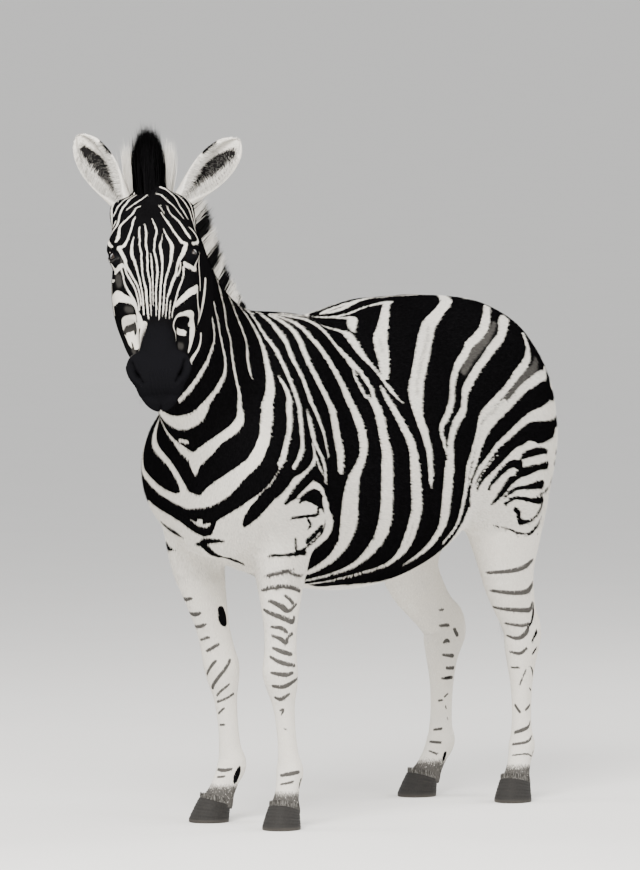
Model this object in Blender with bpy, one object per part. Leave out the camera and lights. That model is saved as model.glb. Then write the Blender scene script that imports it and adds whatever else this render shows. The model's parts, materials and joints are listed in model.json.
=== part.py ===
"""A plains zebra at life size, standing with its head turned to its left.

Frame: metres, +Z up, the animal faces -Y, its left side is +X, and its hooves stand on Z = 0.
The body is one smooth field, made of oval tubes and muscle ovals that melt into each other.
A voxel mesh is laid on that field, thinned to facets, and parted by thin cuts into named nodes.
"""

import math

import bmesh
import bpy
import numpy as np
from mathutils import Matrix, Vector

# ---------------------------------------------------------------- driving dimensions, in metres
FRONT_Y = -0.444  # the front of the chest
HEAD_YAW = math.radians(39)  # how far the head is turned to the animal's left
HEAD_PITCH = math.radians(18)  # how far the nose is carried in front of the poll
HEAD_ROLL = math.radians(-3)
POLL = (0.105, -0.340, 1.625)  # behind the forelock: x, distance behind the chest's front, z
EYE_RADIUS = 0.020
EYE_PLACE = (0.0965, -0.0445, 0.148)  # in the head's frame: side, front, down the face
GAP = 0.0004  # between neighbouring nodes
VOXEL = 0.011
BODY_TRIANGLES = 4250


def along(stations, steps):
    """Rows of stations, joined by a Catmull-Rom curve with that many steps between rows."""
    rows = np.array(stations, float)
    ends = np.vstack([2 * rows[0] - rows[1], rows, 2 * rows[-1] - rows[-2]])
    t = np.linspace(0, 1, steps, endpoint=False)[:, None]
    pieces = []
    for a, b, c, d in zip(ends, ends[1:], ends[2:], ends[3:]):
        pieces.append(
            0.5 * (2 * b + (c - a) * t + (2 * a - 5 * b + 4 * c - d) * t**2 + (3 * b - a - 3 * c + d) * t**3)
        )
    return np.vstack(pieces + [rows[-1:]])


def unit(v):
    return v / np.maximum(np.linalg.norm(v, axis=-1, keepdims=True), 1e-9)


class Tube:
    """Oval sections along a smooth spine. A station is x, y, z, half width, fore and aft depth.

    fore is the direction of the section's first depth, given for the first and last station.
    """

    def __init__(self, stations, fore, blend, fore_end=None, square=2.1, steps=6, frame=None):
        rows = along(stations, steps)
        spine = rows[:, :3]
        share = np.linspace(0, 1, len(rows))[:, None]
        toward = np.array(fore, float) * (1 - share) + np.array(fore_end or fore, float) * share
        if frame is not None:
            spine = spine @ frame[:3, :3].T + frame[:3, 3]
            toward = toward @ frame[:3, :3].T
        tangent = unit(np.gradient(spine, axis=0))
        self.spine = spine
        self.fore = unit(toward - (toward * tangent).sum(1, keepdims=True) * tangent)
        self.side = np.cross(self.fore, tangent)
        self.size = np.maximum(rows[:, 3:6], 0.002)
        self.square = square
        self.blend = blend
        reach = self.size.max() + 0.12
        self.box = spine.min(0) - reach, spine.max(0) + reach

    def section(self, i, angle):
        """Points round section i: angle 0 is the side, a quarter turn is fore."""
        c, s = np.cos(angle), np.sin(angle)
        a, fore, aft = self.size[i]
        depth = np.where(s > 0, fore, aft)
        r = (np.abs(c / a) ** self.square + np.abs(s / depth) ** self.square) ** (-1 / self.square)
        return self.spine[i] + np.outer(r * c, self.side[i]) + np.outer(r * s, self.fore[i])

    def distance(self, p):
        """Roughly how far each point is outside this tube."""
        cut = p @ self.spine.T * -2 + (self.spine**2).sum(1)
        near = cut.argmin(1)
        best = np.full(len(p), np.inf)
        place = np.zeros(len(p))
        for first in (np.maximum(near - 1, 0), np.minimum(near, len(self.spine) - 2)):
            a, b = self.spine[first], self.spine[first + 1]
            t = np.clip(((p - a) * (b - a)).sum(1) / ((b - a) ** 2).sum(1), 0, 1)
            gap = ((p - a - t[:, None] * (b - a)) ** 2).sum(1)
            closer = gap < best
            best = np.where(closer, gap, best)
            place = np.where(closer, first + t, place)
        i = np.minimum(place.astype(int), len(self.spine) - 2)
        t = (place - i)[:, None]
        spine, fore, side, size = (
            v[i] * (1 - t) + v[i + 1] * t for v in (self.spine, self.fore, self.side, self.size)
        )
        q = p - spine
        c, s = (q * side).sum(1), (q * fore).sum(1)
        r = np.sqrt(c**2 + s**2) + 1e-9
        depth = np.where(s > 0, size[:, 1], size[:, 2])
        n = self.square
        edge = (np.abs(c / r / size[:, 0]) ** n + np.abs(s / r / depth) ** n) ** (-1 / n)
        return np.sqrt((q**2).sum(1)) - edge

    def mesh(self, around=20):
        """(points, faces) of the closed tube."""
        angle = np.linspace(0, 2 * np.pi, around, endpoint=False)
        rings = [self.section(i, angle) for i in range(len(self.spine))]
        points = np.vstack(rings + [self.spine[:1], self.spine[-1:]])
        faces = []
        first, last = len(points) - 2, len(points) - 1
        for k in range(around):
            j = (k + 1) % around
            for i in range(len(rings) - 1):
                a, b = i * around, (i + 1) * around
                faces.append((a + k, b + k, b + j, a + j))
            faces.append((first, k, j))
            faces.append((last, last - 1 - around + j, last - 1 - around + k))
        return points, faces


class Muscle:
    """An oval of flesh: its centre, its three half sizes, and its turn about X, Y and Z in degrees."""

    def __init__(self, centre, size, turn=(0, 0, 0), blend=0.05, frame=None):
        spin = Matrix.Identity(3)
        for axis, degrees in zip("XYZ", turn):
            spin = Matrix.Rotation(math.radians(degrees), 3, axis) @ spin
        self.centre = np.array(centre, float)
        self.axes = np.array(spin).T
        if frame is not None:
            self.centre = frame[:3, :3] @ self.centre + frame[:3, 3]
            self.axes = self.axes @ frame[:3, :3].T
        self.size = np.array(size, float)
        self.blend = blend
        reach = self.size.max() + 0.12
        self.box = self.centre - reach, self.centre + reach

    def distance(self, p):
        q = (p - self.centre) @ self.axes.T
        scaled = np.linalg.norm(q / self.size, axis=1) + 1e-9
        return scaled * (scaled - 1) / (np.linalg.norm(q / self.size**2, axis=1) + 1e-9)

    def mesh(self, around=16):
        angle = np.linspace(0, np.pi, around // 2 + 1)[1:-1]
        turns = np.linspace(0, 2 * np.pi, around, endpoint=False)
        rings = [
            np.column_stack(
                [np.sin(a) * np.cos(turns), np.sin(a) * np.sin(turns), np.full(around, -np.cos(a))]
            )
            for a in angle
        ]
        ball = np.vstack(rings + [[(0, 0, -1)], [(0, 0, 1)]]) * self.size
        points = ball @ self.axes + self.centre
        faces = []
        first, last = len(points) - 2, len(points) - 1
        for k in range(around):
            j = (k + 1) % around
            for i in range(len(rings) - 1):
                a, b = i * around, (i + 1) * around
                faces.append((a + k, a + j, b + j, b + k))
            faces.append((first, j, k))
            faces.append((last, last - 1 - around + k, last - 1 - around + j))
        return points, faces


# ---------------------------------------------------------------- the animal's parts
# Lengthways places are given from the front of the chest, and moved to the row frame here.


def from_chest(stations):
    return [(x, y + FRONT_Y, z, *sizes) for x, y, z, *sizes in stations]


def head_frame():
    """Matrix of the head: its first axis is the animal's left, its second the way the face looks,
    and its third runs down the face from the poll to the lips."""
    look = Vector((math.sin(HEAD_YAW), -math.cos(HEAD_YAW), 0))
    down = look * math.sin(HEAD_PITCH) + Vector((0, 0, -math.cos(HEAD_PITCH)))
    front = look * math.cos(HEAD_PITCH) + Vector((0, 0, math.sin(HEAD_PITCH)))
    down = Matrix.Rotation(-HEAD_ROLL, 3, look) @ down
    front = Matrix.Rotation(-HEAD_ROLL, 3, look) @ front
    side = front.cross(down)
    frame = np.eye(4)
    frame[:3, :3] = np.array([side, front, down]).T
    frame[:3, 3] = POLL[0], POLL[1] + FRONT_Y, POLL[2]
    return frame


HEAD = head_frame()


def trunk():
    """The barrel, from the breast to the buttocks: width, then height above and below the spine row."""
    rows = [
        (0, 0.035, 0.920, 0.140, 0.140, 0.140),
        (0, 0.065, 0.920, 0.180, 0.205, 0.190),
        (0, 0.110, 0.920, 0.203, 0.290, 0.245),
        (0, 0.160, 0.923, 0.208, 0.345, 0.280),
        (0, 0.240, 0.930, 0.208, 0.378, 0.295),
        (0, 0.340, 0.918, 0.228, 0.381, 0.311),
        (0, 0.460, 0.908, 0.260, 0.396, 0.324),
        (0, 0.590, 0.905, 0.282, 0.416, 0.321),
        (0, 0.710, 0.914, 0.282, 0.421, 0.297),
        (0, 0.820, 0.934, 0.264, 0.407, 0.254),
        (0, 0.930, 0.958, 0.244, 0.383, 0.213),
        (0, 1.020, 0.978, 0.230, 0.350, 0.208),
        (0, 1.090, 0.994, 0.212, 0.309, 0.204),
        (0, 1.140, 1.006, 0.185, 0.254, 0.183),
        (0, 1.168, 1.013, 0.140, 0.160, 0.140),
    ]
    return Tube(from_chest(rows), fore=(0, 0, 1), blend=0.08)


def neck():
    """From inside the shoulders to the poll: width, then depth towards the crest and the throat."""
    rows = [
        (0.000, 0.270, 0.985, 0.120, 0.240, 0.200),
        (0.000, 0.150, 1.050, 0.145, 0.230, 0.235),
        (0.006, 0.035, 1.130, 0.132, 0.222, 0.212),
        (0.026, -0.075, 1.225, 0.110, 0.192, 0.172),
        (0.056, -0.165, 1.330, 0.092, 0.162, 0.138),
        (0.083, -0.235, 1.440, 0.081, 0.136, 0.115),
        (0.098, -0.280, 1.530, 0.072, 0.104, 0.090),
        (0.104, -0.305, 1.590, 0.050, 0.060, 0.055),
    ]
    crest_at_base = (0, 0.45, 0.89)
    crest_at_poll = (-0.22, 0.78, 0.58)
    return Tube(from_chest(rows), fore=crest_at_base, fore_end=crest_at_poll, blend=0.07, square=2.0)


def fore_leg(side, places, turn):
    """Down one foreleg. places are the leg's x and lengthways place at elbow, knee, fetlock and hoof."""
    shape = [  # height, half width, depth before and behind
        (0.900, 0.066, 0.095, 0.105),
        (0.820, 0.070, 0.102, 0.105),
        (0.740, 0.068, 0.100, 0.092),
        (0.660, 0.060, 0.086, 0.074),
        (0.580, 0.050, 0.068, 0.058),
        (0.500, 0.041, 0.050, 0.045),
        (0.440, 0.042, 0.047, 0.043),
        (0.400, 0.046, 0.049, 0.046),
        (0.360, 0.040, 0.041, 0.044),
        (0.310, 0.028, 0.029, 0.036),
        (0.240, 0.024, 0.025, 0.033),
        (0.185, 0.027, 0.028, 0.035),
        (0.145, 0.035, 0.034, 0.045),
        (0.110, 0.031, 0.032, 0.039),
        (0.078, 0.033, 0.035, 0.036),
        (0.050, 0.041, 0.044, 0.040),
        (0.030, 0.039, 0.042, 0.038),
    ]
    return leg(side, shape, places, (0.90, 0.66, 0.40, 0.145, 0.030), turn)


def hind_leg(side, places, turn):
    """Down one hind leg. places are at the thigh, stifle, gaskin, hock, fetlock and hoof."""
    shape = [
        (1.060, 0.080, 0.130, 0.150),
        (0.960, 0.098, 0.160, 0.205),
        (0.860, 0.098, 0.165, 0.195),
        (0.770, 0.088, 0.155, 0.160),
        (0.680, 0.073, 0.130, 0.118),
        (0.600, 0.060, 0.108, 0.076),
        (0.525, 0.049, 0.084, 0.062),
        (0.475, 0.041, 0.065, 0.070),
        (0.442, 0.041, 0.058, 0.081),
        (0.405, 0.041, 0.055, 0.075),
        (0.360, 0.036, 0.046, 0.052),
        (0.300, 0.028, 0.034, 0.041),
        (0.230, 0.025, 0.029, 0.037),
        (0.180, 0.028, 0.031, 0.038),
        (0.142, 0.035, 0.036, 0.046),
        (0.108, 0.031, 0.033, 0.040),
        (0.076, 0.033, 0.036, 0.037),
        (0.050, 0.040, 0.044, 0.040),
        (0.030, 0.038, 0.042, 0.038),
    ]
    return leg(side, shape, places, (1.06, 0.86, 0.60, 0.440, 0.142, 0.030), turn)


def leg(side, shape, places, heights, turn):
    """A tube down one leg, whose spine passes through places at the given heights."""
    line = np.array(places, float)[::-1]
    levels = np.array(heights, float)[::-1]
    rows = []
    for z, *sizes in shape:
        x, y = (np.interp(z, levels, line[:, k]) for k in (0, 1))
        rows.append((side * x, y, z, *sizes))
    yaw = math.radians(turn)
    forward = (side * math.sin(yaw), -math.cos(yaw), 0)
    return Tube(from_chest(rows), fore=(0, -1, 0), fore_end=forward, blend=0.035, steps=4)


LEGS = {  # side, places down the leg (x, lengthways), degrees that the toe turns out
    "fore_left": (1, [(0.128, 0.170), (0.128, 0.150), (0.122, 0.152), (0.122, 0.188), (0.128, 0.160)], 16),
    "fore_right": (-1, [(0.160, 0.140), (0.150, 0.160), (0.126, 0.218), (0.120, 0.246), (0.128, 0.196)], 22),
    "hind_left": (
        1,
        [(0.125, 1.030), (0.140, 1.040), (0.136, 1.085), (0.128, 1.140), (0.126, 1.145), (0.140, 1.100)],
        20,
    ),
    "hind_right": (
        -1,
        [(0.125, 1.010), (0.145, 0.985), (0.140, 1.030), (0.134, 1.138), (0.130, 1.124), (0.140, 1.064)],
        12,
    ),
}


def muscles():
    """The bumps of bone and muscle that show on both sides of trunk and legs."""
    found = [
        Muscle((0, 0.045 + FRONT_Y, 0.800), (0.150, 0.095, 0.110), (0, 0, 0), 0.08),  # breast
        Muscle((0, 0.025 + FRONT_Y, 0.930), (0.165, 0.095, 0.160), (0, 0, 0), 0.08),  # below the neck
        Muscle((0, 1.100 + FRONT_Y, 1.175), (0.095, 0.125, 0.100), (0, 0, 0), 0.10),  # root of the tail
    ]
    for side in (1, -1):
        for x, y, z, size, turn, blend in (
            (0.118, 0.190, 1.080, (0.075, 0.110, 0.220), -24, 0.10),  # shoulder blade
            (0.140, 0.075, 0.910, (0.082, 0.100, 0.130), 0, 0.09),  # point of the shoulder
            (0.150, 0.215, 0.845, (0.068, 0.105, 0.110), 20, 0.07),  # triceps to the elbow
            (0.118, 0.930, 1.140, (0.115, 0.160, 0.165), 20, 0.10),  # croup
            (0.125, 1.075, 1.020, (0.110, 0.160, 0.220), 15, 0.09),  # back of the thigh
            (0.160, 0.935, 0.830, (0.070, 0.085, 0.110), 25, 0.07),  # stifle
        ):
            found.append(Muscle((side * x, y + FRONT_Y, z), size, (turn, 0, 0), blend))
    return found


def skull():
    """The head's parts, in its own frame: side, front, and down the face from the poll."""
    face = [
        (0, -0.085, -0.020, 0.050, 0.030, 0.040),
        (0, -0.082, 0.008, 0.084, 0.055, 0.070),
        (0, -0.080, 0.050, 0.101, 0.074, 0.090),
        (0, -0.082, 0.105, 0.108, 0.080, 0.090),
        (0, -0.080, 0.165, 0.094, 0.077, 0.080),
        (0, -0.078, 0.235, 0.070, 0.071, 0.070),
        (0, -0.076, 0.305, 0.055, 0.063, 0.060),
        (0, -0.074, 0.365, 0.049, 0.055, 0.050),
        (0, -0.072, 0.420, 0.057, 0.048, 0.048),
        (0, -0.074, 0.465, 0.058, 0.040, 0.042),
        (0, -0.080, 0.496, 0.043, 0.022, 0.028),
    ]
    jaw = [
        (0, -0.130, 0.030, 0.050, 0.040, 0.045),
        (0, -0.145, 0.090, 0.080, 0.060, 0.070),
        (0, -0.150, 0.170, 0.094, 0.062, 0.085),
        (0, -0.147, 0.260, 0.097, 0.060, 0.082),
        (0, -0.138, 0.335, 0.091, 0.052, 0.068),
        (0, -0.124, 0.390, 0.070, 0.040, 0.048),
        (0, -0.110, 0.432, 0.050, 0.030, 0.034),
        (0, -0.102, 0.466, 0.046, 0.026, 0.028),
        (0, -0.098, 0.492, 0.030, 0.018, 0.018),
    ]
    parts = [
        Tube(face, fore=(0, 1, 0), blend=0.025, square=2.4, steps=5, frame=HEAD),
        Tube(jaw, fore=(0, 1, 0), blend=0.02, steps=5, frame=HEAD),
        Muscle((0, -0.062, 0.455), (0.060, 0.036, 0.046), blend=0.02, frame=HEAD),  # upper lip
        Muscle((0, -0.098, 0.476), (0.047, 0.028, 0.031), blend=0.015, frame=HEAD),  # chin
    ]
    for side in (1, -1):
        for x, y, z, size, turn, blend in (
            (0.070, -0.130, 0.215, (0.042, 0.075, 0.105), 0, 0.03),  # cheek
            (0.092, -0.052, 0.128, (0.024, 0.034, 0.036), 0, 0.03),  # eye socket
            (0.072, -0.085, 0.225, (0.024, 0.026, 0.065), 0, 0.03),  # cheek bone
            (0.054, -0.050, 0.432, (0.029, 0.030, 0.040), 0, 0.018),  # nostril's wing
            (0.070, -0.095, 0.012, (0.036, 0.040, 0.042), 0, 0.03),  # ear's root
        ):
            parts.append(Muscle((side * x, y, z), size, (turn, 0, 0), blend, frame=HEAD))
    return parts


def flesh():
    """Every part of the skin's shape, in the order in which they melt together."""
    parts = [trunk(), neck(), *muscles(), *skull()]
    for name, (side, places, turn) in LEGS.items():
        make = fore_leg if name.startswith("fore") else hind_leg
        parts.append(make(side, places, turn))
    return parts


def field(parts, p):
    """How far each point lies outside the joined flesh, where neighbours melt over their blend."""
    total = np.full(len(p), 1.0)
    for part in parts:
        low, high = part.box
        near = np.flatnonzero(((p > low) & (p < high)).all(1))
        if not len(near):
            continue
        one, other = total[near], part.distance(p[near])
        melt = np.maximum(part.blend - np.abs(one - other), 0) / part.blend
        total[near] = np.minimum(one, other) - melt**2 * part.blend / 4
    return total


# ---------------------------------------------------------------- meshes


def new_object(name, points, faces):
    mesh = bpy.data.meshes.new(name)
    mesh.from_pydata([tuple(p) for p in points], [], [tuple(f) for f in faces])
    made = bpy.data.objects.new(name, mesh)
    bpy.context.scene.collection.objects.link(made)
    return made


def joined(parts):
    """One mesh object that holds every part's own closed mesh."""
    points, faces, start = [], [], 0
    for part in parts:
        own, own_faces = part.mesh()
        points.append(own)
        faces += [tuple(i + start for i in face) for face in own_faces]
        start += len(own)
    return new_object("flesh", np.vstack(points), faces)


def coordinates(mesh, what="co"):
    found = np.empty(len(mesh.vertices) * 3, np.float32)
    mesh.vertices.foreach_get(what, found)
    return found.reshape(-1, 3).astype(float)


def settle(obj, parts, rounds=6):
    """Moves a mesh's points along their normals onto the field, and evens them out as it goes."""
    step = 0.001
    for turn in range(rounds):
        p, n = coordinates(obj.data), coordinates(obj.data, "normal")
        here = field(parts, p)
        slope = np.clip((field(parts, p + step * n) - here) / step, 0.6, 2)
        limit = 0.012 if turn < 2 else 0.003
        p -= n * np.clip(here / slope, -limit, limit)[:, None]
        obj.data.vertices.foreach_set("co", p.astype(np.float32).ravel())
        obj.data.update()
        if turn < rounds - 2:
            relax = obj.modifiers.new("relax", "SMOOTH")
            relax.factor = 0.5
            relax.iterations = 5 - turn
            applied(obj)


def applied(obj):
    """Bakes the object's modifiers into its mesh."""
    graph = bpy.context.evaluated_depsgraph_get()
    mesh = bpy.data.meshes.new_from_object(obj.evaluated_get(graph))
    obj.modifiers.clear()
    obj.data = mesh
    return obj


def remeshed(obj, voxel):
    remesh = obj.modifiers.new("voxels", "REMESH")
    remesh.mode = "VOXEL"
    remesh.voxel_size = voxel
    return applied(obj)


def whole_body(parts, voxel=VOXEL):
    """The body in one closed mesh: set out coarsely first, then laid again without folds."""
    body = remeshed(joined(parts), 1.5 * voxel)
    settle(body, parts, rounds=4)
    remeshed(body, voxel)
    settle(body, parts, rounds=4)
    return body


def thinned(body, triangles):
    """Fewer facets, which stay smallest on the head and the lower legs."""
    p = coordinates(body.data)
    in_head = (p - HEAD[:3, 3]) @ HEAD[:3, :3]
    weight = np.where((in_head[:, 2] > -0.05) & (in_head[:, 1] > -0.26) & (p[:, 1] < FRONT_Y), 0.05, 0.6)
    weight = np.where(p[:, 2] < 0.55, 0.35, weight)
    group = body.vertex_groups.new(name="thin")
    for value in np.unique(weight):
        group.add(np.flatnonzero(weight == value).tolist(), float(value), "REPLACE")
    thin = body.modifiers.new("thin", "DECIMATE")
    thin.ratio = triangles / (2 * len(body.data.polygons))
    thin.vertex_group = "thin"
    thin.vertex_group_factor = 0.6
    thin.use_collapse_triangulate = True
    return applied(body)


# ---------------------------------------------------------------- parts laid on the body


def lofted(name, rings):
    """A closed body through rings of equal point counts, capped with a fan at each end."""
    count = len(rings[0])
    points = np.vstack(list(rings) + [rings[0].mean(0, keepdims=True), rings[-1].mean(0, keepdims=True)])
    faces = []
    first, last = len(points) - 2, len(points) - 1
    top = (len(rings) - 1) * count
    for k in range(count):
        j = (k + 1) % count
        for i in range(len(rings) - 1):
            a, b = i * count, (i + 1) * count
            faces.append((a + k, a + j, b + j))
            faces.append((a + k, b + j, b + k))
        faces.append((first, j, k))
        faces.append((last, top + k, top + j))
    made = new_object(name, points, faces)
    face_outward(made)
    return made


def face_outward(obj):
    work = bmesh.new()
    work.from_mesh(obj.data)
    bmesh.ops.recalc_face_normals(work, faces=work.faces)
    work.to_mesh(obj.data)
    work.free()


def in_world(points, frame):
    return np.asarray(points, float) @ frame[:3, :3].T + frame[:3, 3]


EAR_ROWS = [  # along the ear: half width, depth of the cup, how far round the rim closes
    (-0.040, 0.024, 0.024, 160),
    (-0.010, 0.028, 0.027, 155),
    (0.015, 0.033, 0.032, 138),
    (0.045, 0.040, 0.034, 115),
    (0.078, 0.046, 0.034, 100),
    (0.110, 0.048, 0.031, 95),
    (0.140, 0.045, 0.026, 92),
    (0.166, 0.037, 0.020, 90),
    (0.185, 0.024, 0.012, 90),
    (0.196, 0.010, 0.005, 90),
]
EAR_THICK = 0.008


def ear_frame(side):
    """The ear's own frame: across, the way it opens, and along it from root to tip."""
    lean = math.radians(30 if side < 0 else 46)
    along_ear = np.array([side * math.sin(lean), 0.10, -math.cos(lean)])
    along_ear /= np.linalg.norm(along_ear)
    opens = np.array([side * 0.30, 1.0, 0.0])
    opens -= along_ear * (opens @ along_ear)
    opens /= np.linalg.norm(opens)
    frame = np.eye(4)
    frame[:3, :3] = np.array([np.cross(opens, along_ear), opens, along_ear]).T
    frame[:3, 3] = side * (0.077 if side < 0 else 0.086), -0.088, -0.016
    return HEAD @ frame


def ear(name, side, rows, around=9):
    """A leaf-shaped cup with a rolled root."""
    rings = []
    for height, width, depth, closed in rows:
        sweep = np.radians(np.linspace(-closed, closed, around))
        outer = np.column_stack([width * np.sin(sweep), -depth * np.cos(sweep)])
        thick = min(EAR_THICK, 0.7 * depth)
        inner = np.column_stack([(width - thick) * np.sin(sweep), -(depth - thick) * np.cos(sweep)])[::-1]
        ring = np.vstack([outer, inner])
        rings.append(np.column_stack([ring, np.full(len(ring), height)]))
    made = lofted(name, [in_world(ring, ear_frame(side)) for ring in rings])
    return made


def crest(count):
    """Points along the top of the neck from poll to withers, and the directions out and across."""
    tube = neck()
    picks = np.linspace(len(tube.spine) - 4, 11, count)
    rows = []
    for pick in picks:
        i = int(pick)
        t = pick - i
        rows.append(
            [(v[i] * (1 - t) + v[i + 1] * t) for v in (tube.spine, tube.fore, tube.side)]
            + [tube.size[i] * (1 - t) + tube.size[i + 1] * t]
        )
    return rows


MANE_TUFTS = 15


def mane():
    """The upright mane: a fin along the crest, whose edge stands in tufts."""
    rings = []
    steps = MANE_TUFTS * 4 + 1
    for k, (centre, out, across, size) in enumerate(crest(steps)):
        share = k / (steps - 1)
        height = 0.118 * (1 - share**2.5) + 0.012 + 0.010 * abs(math.sin(math.pi * k / 4 + 0.6))
        root = centre + out * (size[1] - 0.030)
        half = 0.020 - 0.006 * share
        rising = [(-half, 0), (-0.9 * half, 0.55), (-0.35 * half, 1)]
        profile = rising + [(-x, y) for x, y in reversed(rising)]
        rings.append(np.array([root + across * u + out * (0.030 + height) * v for u, v in profile]))
    return lofted("mane", rings)


def tube_object(name, rows, fore, frame=None, around=12, square=2.0, steps=3):
    tube = Tube(rows, fore=fore, blend=0.01, square=square, steps=steps, frame=frame)
    angle = np.linspace(0, 2 * np.pi, around, endpoint=False)
    return lofted(name, [tube.section(i, angle) for i in range(len(tube.spine))])


def forelock():
    """The mane's upright end between the ears."""
    rows = [
        (-0.004, -0.085, 0.020, 0.030, 0.026, 0.040),
        (-0.004, -0.082, -0.040, 0.037, 0.030, 0.044),
        (-0.004, -0.080, -0.095, 0.038, 0.028, 0.042),
        (-0.005, -0.078, -0.150, 0.032, 0.022, 0.032),
        (-0.006, -0.076, -0.192, 0.014, 0.012, 0.016),
    ]
    return tube_object("forelock", rows, fore=(0, 1, 0), frame=HEAD)


TAIL = [  # the fleshy dock, and below it the tuft
    (0.000, 1.180, 1.215, 0.028, 0.026, 0.026),
    (-0.002, 1.262, 1.175, 0.027, 0.025, 0.025),
    (-0.006, 1.316, 1.090, 0.023, 0.021, 0.021),
    (-0.010, 1.326, 0.970, 0.018, 0.017, 0.017),
    (-0.014, 1.318, 0.850, 0.016, 0.016, 0.016),
    (-0.016, 1.308, 0.770, 0.022, 0.022, 0.024),
    (-0.018, 1.300, 0.680, 0.030, 0.028, 0.030),
    (-0.020, 1.296, 0.580, 0.032, 0.029, 0.032),
    (-0.021, 1.294, 0.480, 0.025, 0.023, 0.025),
    (-0.022, 1.292, 0.405, 0.008, 0.008, 0.008),
]
DOCK_END = 0.850


def hoof_frame(name):
    side, places, turn = LEGS[name]
    yaw = math.radians(side * turn)
    x, y = places[-1]
    frame = np.eye(4)
    frame[:3, 0] = math.cos(yaw), math.sin(yaw), 0
    frame[:3, 1] = math.sin(yaw), -math.cos(yaw), 0
    frame[:3, 2] = 0, 0, 1
    frame[:3, 3] = side * x, y + FRONT_Y, 0
    return frame


CORONET = 0.050, 0.30  # the hoof's upper edge: its height at the middle, and how it climbs to the front


def hoof(name, around=20):
    """A horn cone with a flat sole."""
    level, climb = CORONET
    angle = np.linspace(0, 2 * np.pi, around, endpoint=False)
    c, s = np.cos(angle), np.sin(angle)
    rings = []
    walls = ((0, 0.048, 0.056, 0.016), (0.12, 0.049, 0.057, 0.016), (1, 0.040, 0.043, 0))
    for share, half, length, forward in walls:
        x, y = half * c, length * s * np.where(s < 0, 0.86, 1) + forward
        z = share * (level - GAP / 2 + climb * y)
        rings.append(np.column_stack([x, y, z]))
    return lofted(name, [in_world(ring, hoof_frame(name.replace("_hoof", ""))) for ring in rings])


def eye(name, side, radius=EYE_RADIUS):
    work = bmesh.new()
    bmesh.ops.create_icosphere(work, subdivisions=2, radius=radius)
    mesh = bpy.data.meshes.new(name)
    work.to_mesh(mesh)
    work.free()
    made = bpy.data.objects.new(name, mesh)
    bpy.context.scene.collection.objects.link(made)
    x, y, z = EYE_PLACE
    mesh.transform(Matrix.Translation(in_world([(side * x, y, z)], HEAD)[0]))
    return made


# ---------------------------------------------------------------- cutting


def boolean(obj, other, operation):
    cut = obj.modifiers.new("cut", "BOOLEAN")
    cut.operation = operation
    cut.solver = "EXACT"
    cut.object = other
    return applied(obj)


def copy_of(obj, name):
    made = bpy.data.objects.new(name, obj.data.copy())
    bpy.context.scene.collection.objects.link(made)
    return made


def grown(obj, by):
    """A copy whose points stand off along their normals."""
    made = copy_of(obj, "grown")
    p = coordinates(made.data) + by * coordinates(made.data, "normal")
    made.data.vertices.foreach_set("co", p.astype(np.float32).ravel())
    made.data.update()
    return made


def drop(obj):
    bpy.data.objects.remove(obj)


def prism(outline, low, high, grow=0.0, frame=None):
    """A bar across the body over a convex outline, given as (lengthways, height) points."""
    flat = np.array(outline, float)
    ahead = unit(np.roll(flat, -1, axis=0) - flat)
    normals = np.column_stack([ahead[:, 1], -ahead[:, 0]])
    if (normals[0] * (flat.mean(0) - flat[0])).sum() > 0:
        normals = -normals
    edge = (normals * flat).sum(1) + grow
    corners = [np.linalg.solve(normals[[i - 1, i]], edge[[i - 1, i]]) for i in range(len(flat))]
    rings = [np.array([(x, y, z) for y, z in corners]) for x in (low - grow, high + grow)]
    if frame is not None:
        rings = [in_world(ring, frame) for ring in rings]
    return lofted("cutter", rings)


def part_off(body, name, outline, low, high, frame=None):
    """Moves what lies in a prism out of the body into a node of its own, a gap away."""
    node = copy_of(body, name)
    for piece, operation, grow in ((node, "INTERSECT", 0.0), (body, "DIFFERENCE", GAP)):
        cutter = prism(outline, low, high, grow, frame)
        boolean(piece, cutter, operation)
        drop(cutter)
    return node


def split(obj, name, point, normal):
    """Cuts an object by a plane and makes what lies past it a node of its own."""
    other = copy_of(obj, name)
    normal = np.array(normal, float) / np.linalg.norm(normal)
    for piece, sign in ((obj, 1), (other, -1)):
        work = bmesh.new()
        work.from_mesh(piece.data)
        found = bmesh.ops.bisect_plane(
            work,
            geom=work.verts[:] + work.edges[:] + work.faces[:],
            plane_co=np.array(point, float) - sign * normal * GAP / 2,
            plane_no=sign * normal,
            clear_outer=True,
        )
        rim = [e for e in found["geom_cut"] if isinstance(e, bmesh.types.BMEdge)]
        bmesh.ops.triangle_fill(work, edges=rim, use_beauty=True)
        bmesh.ops.recalc_face_normals(work, faces=work.faces)
        work.to_mesh(piece.data)
        work.free()
    return other


# Outlines of the leg nodes from the side: lengthways from the chest's front, and height.
FORE_LEG_OUTLINE = [(0.000, 0.665), (0.285, 0.665), (0.330, -0.05), (-0.020, -0.05)]
HIND_LEG_OUTLINE = [(0.840, 0.735), (1.360, 0.950), (1.360, -0.05), (0.950, -0.05), (0.840, 0.500)]
HEAD_OUTLINE = [(-0.205, -0.12), (-0.235, 0.33), (-0.150, 0.60), (0.25, 0.60), (0.25, -0.12)]


MATERIALS = {
    "hair": ((0.62, 0.60, 0.56), 0.85),
    "dark_hair": ((0.030, 0.028, 0.028), 0.80),
    "muzzle_skin": ((0.020, 0.019, 0.020), 0.55),
    "hoof": ((0.075, 0.066, 0.060), 0.60),
    "eye": ((0.012, 0.008, 0.006), 0.08),
}


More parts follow.
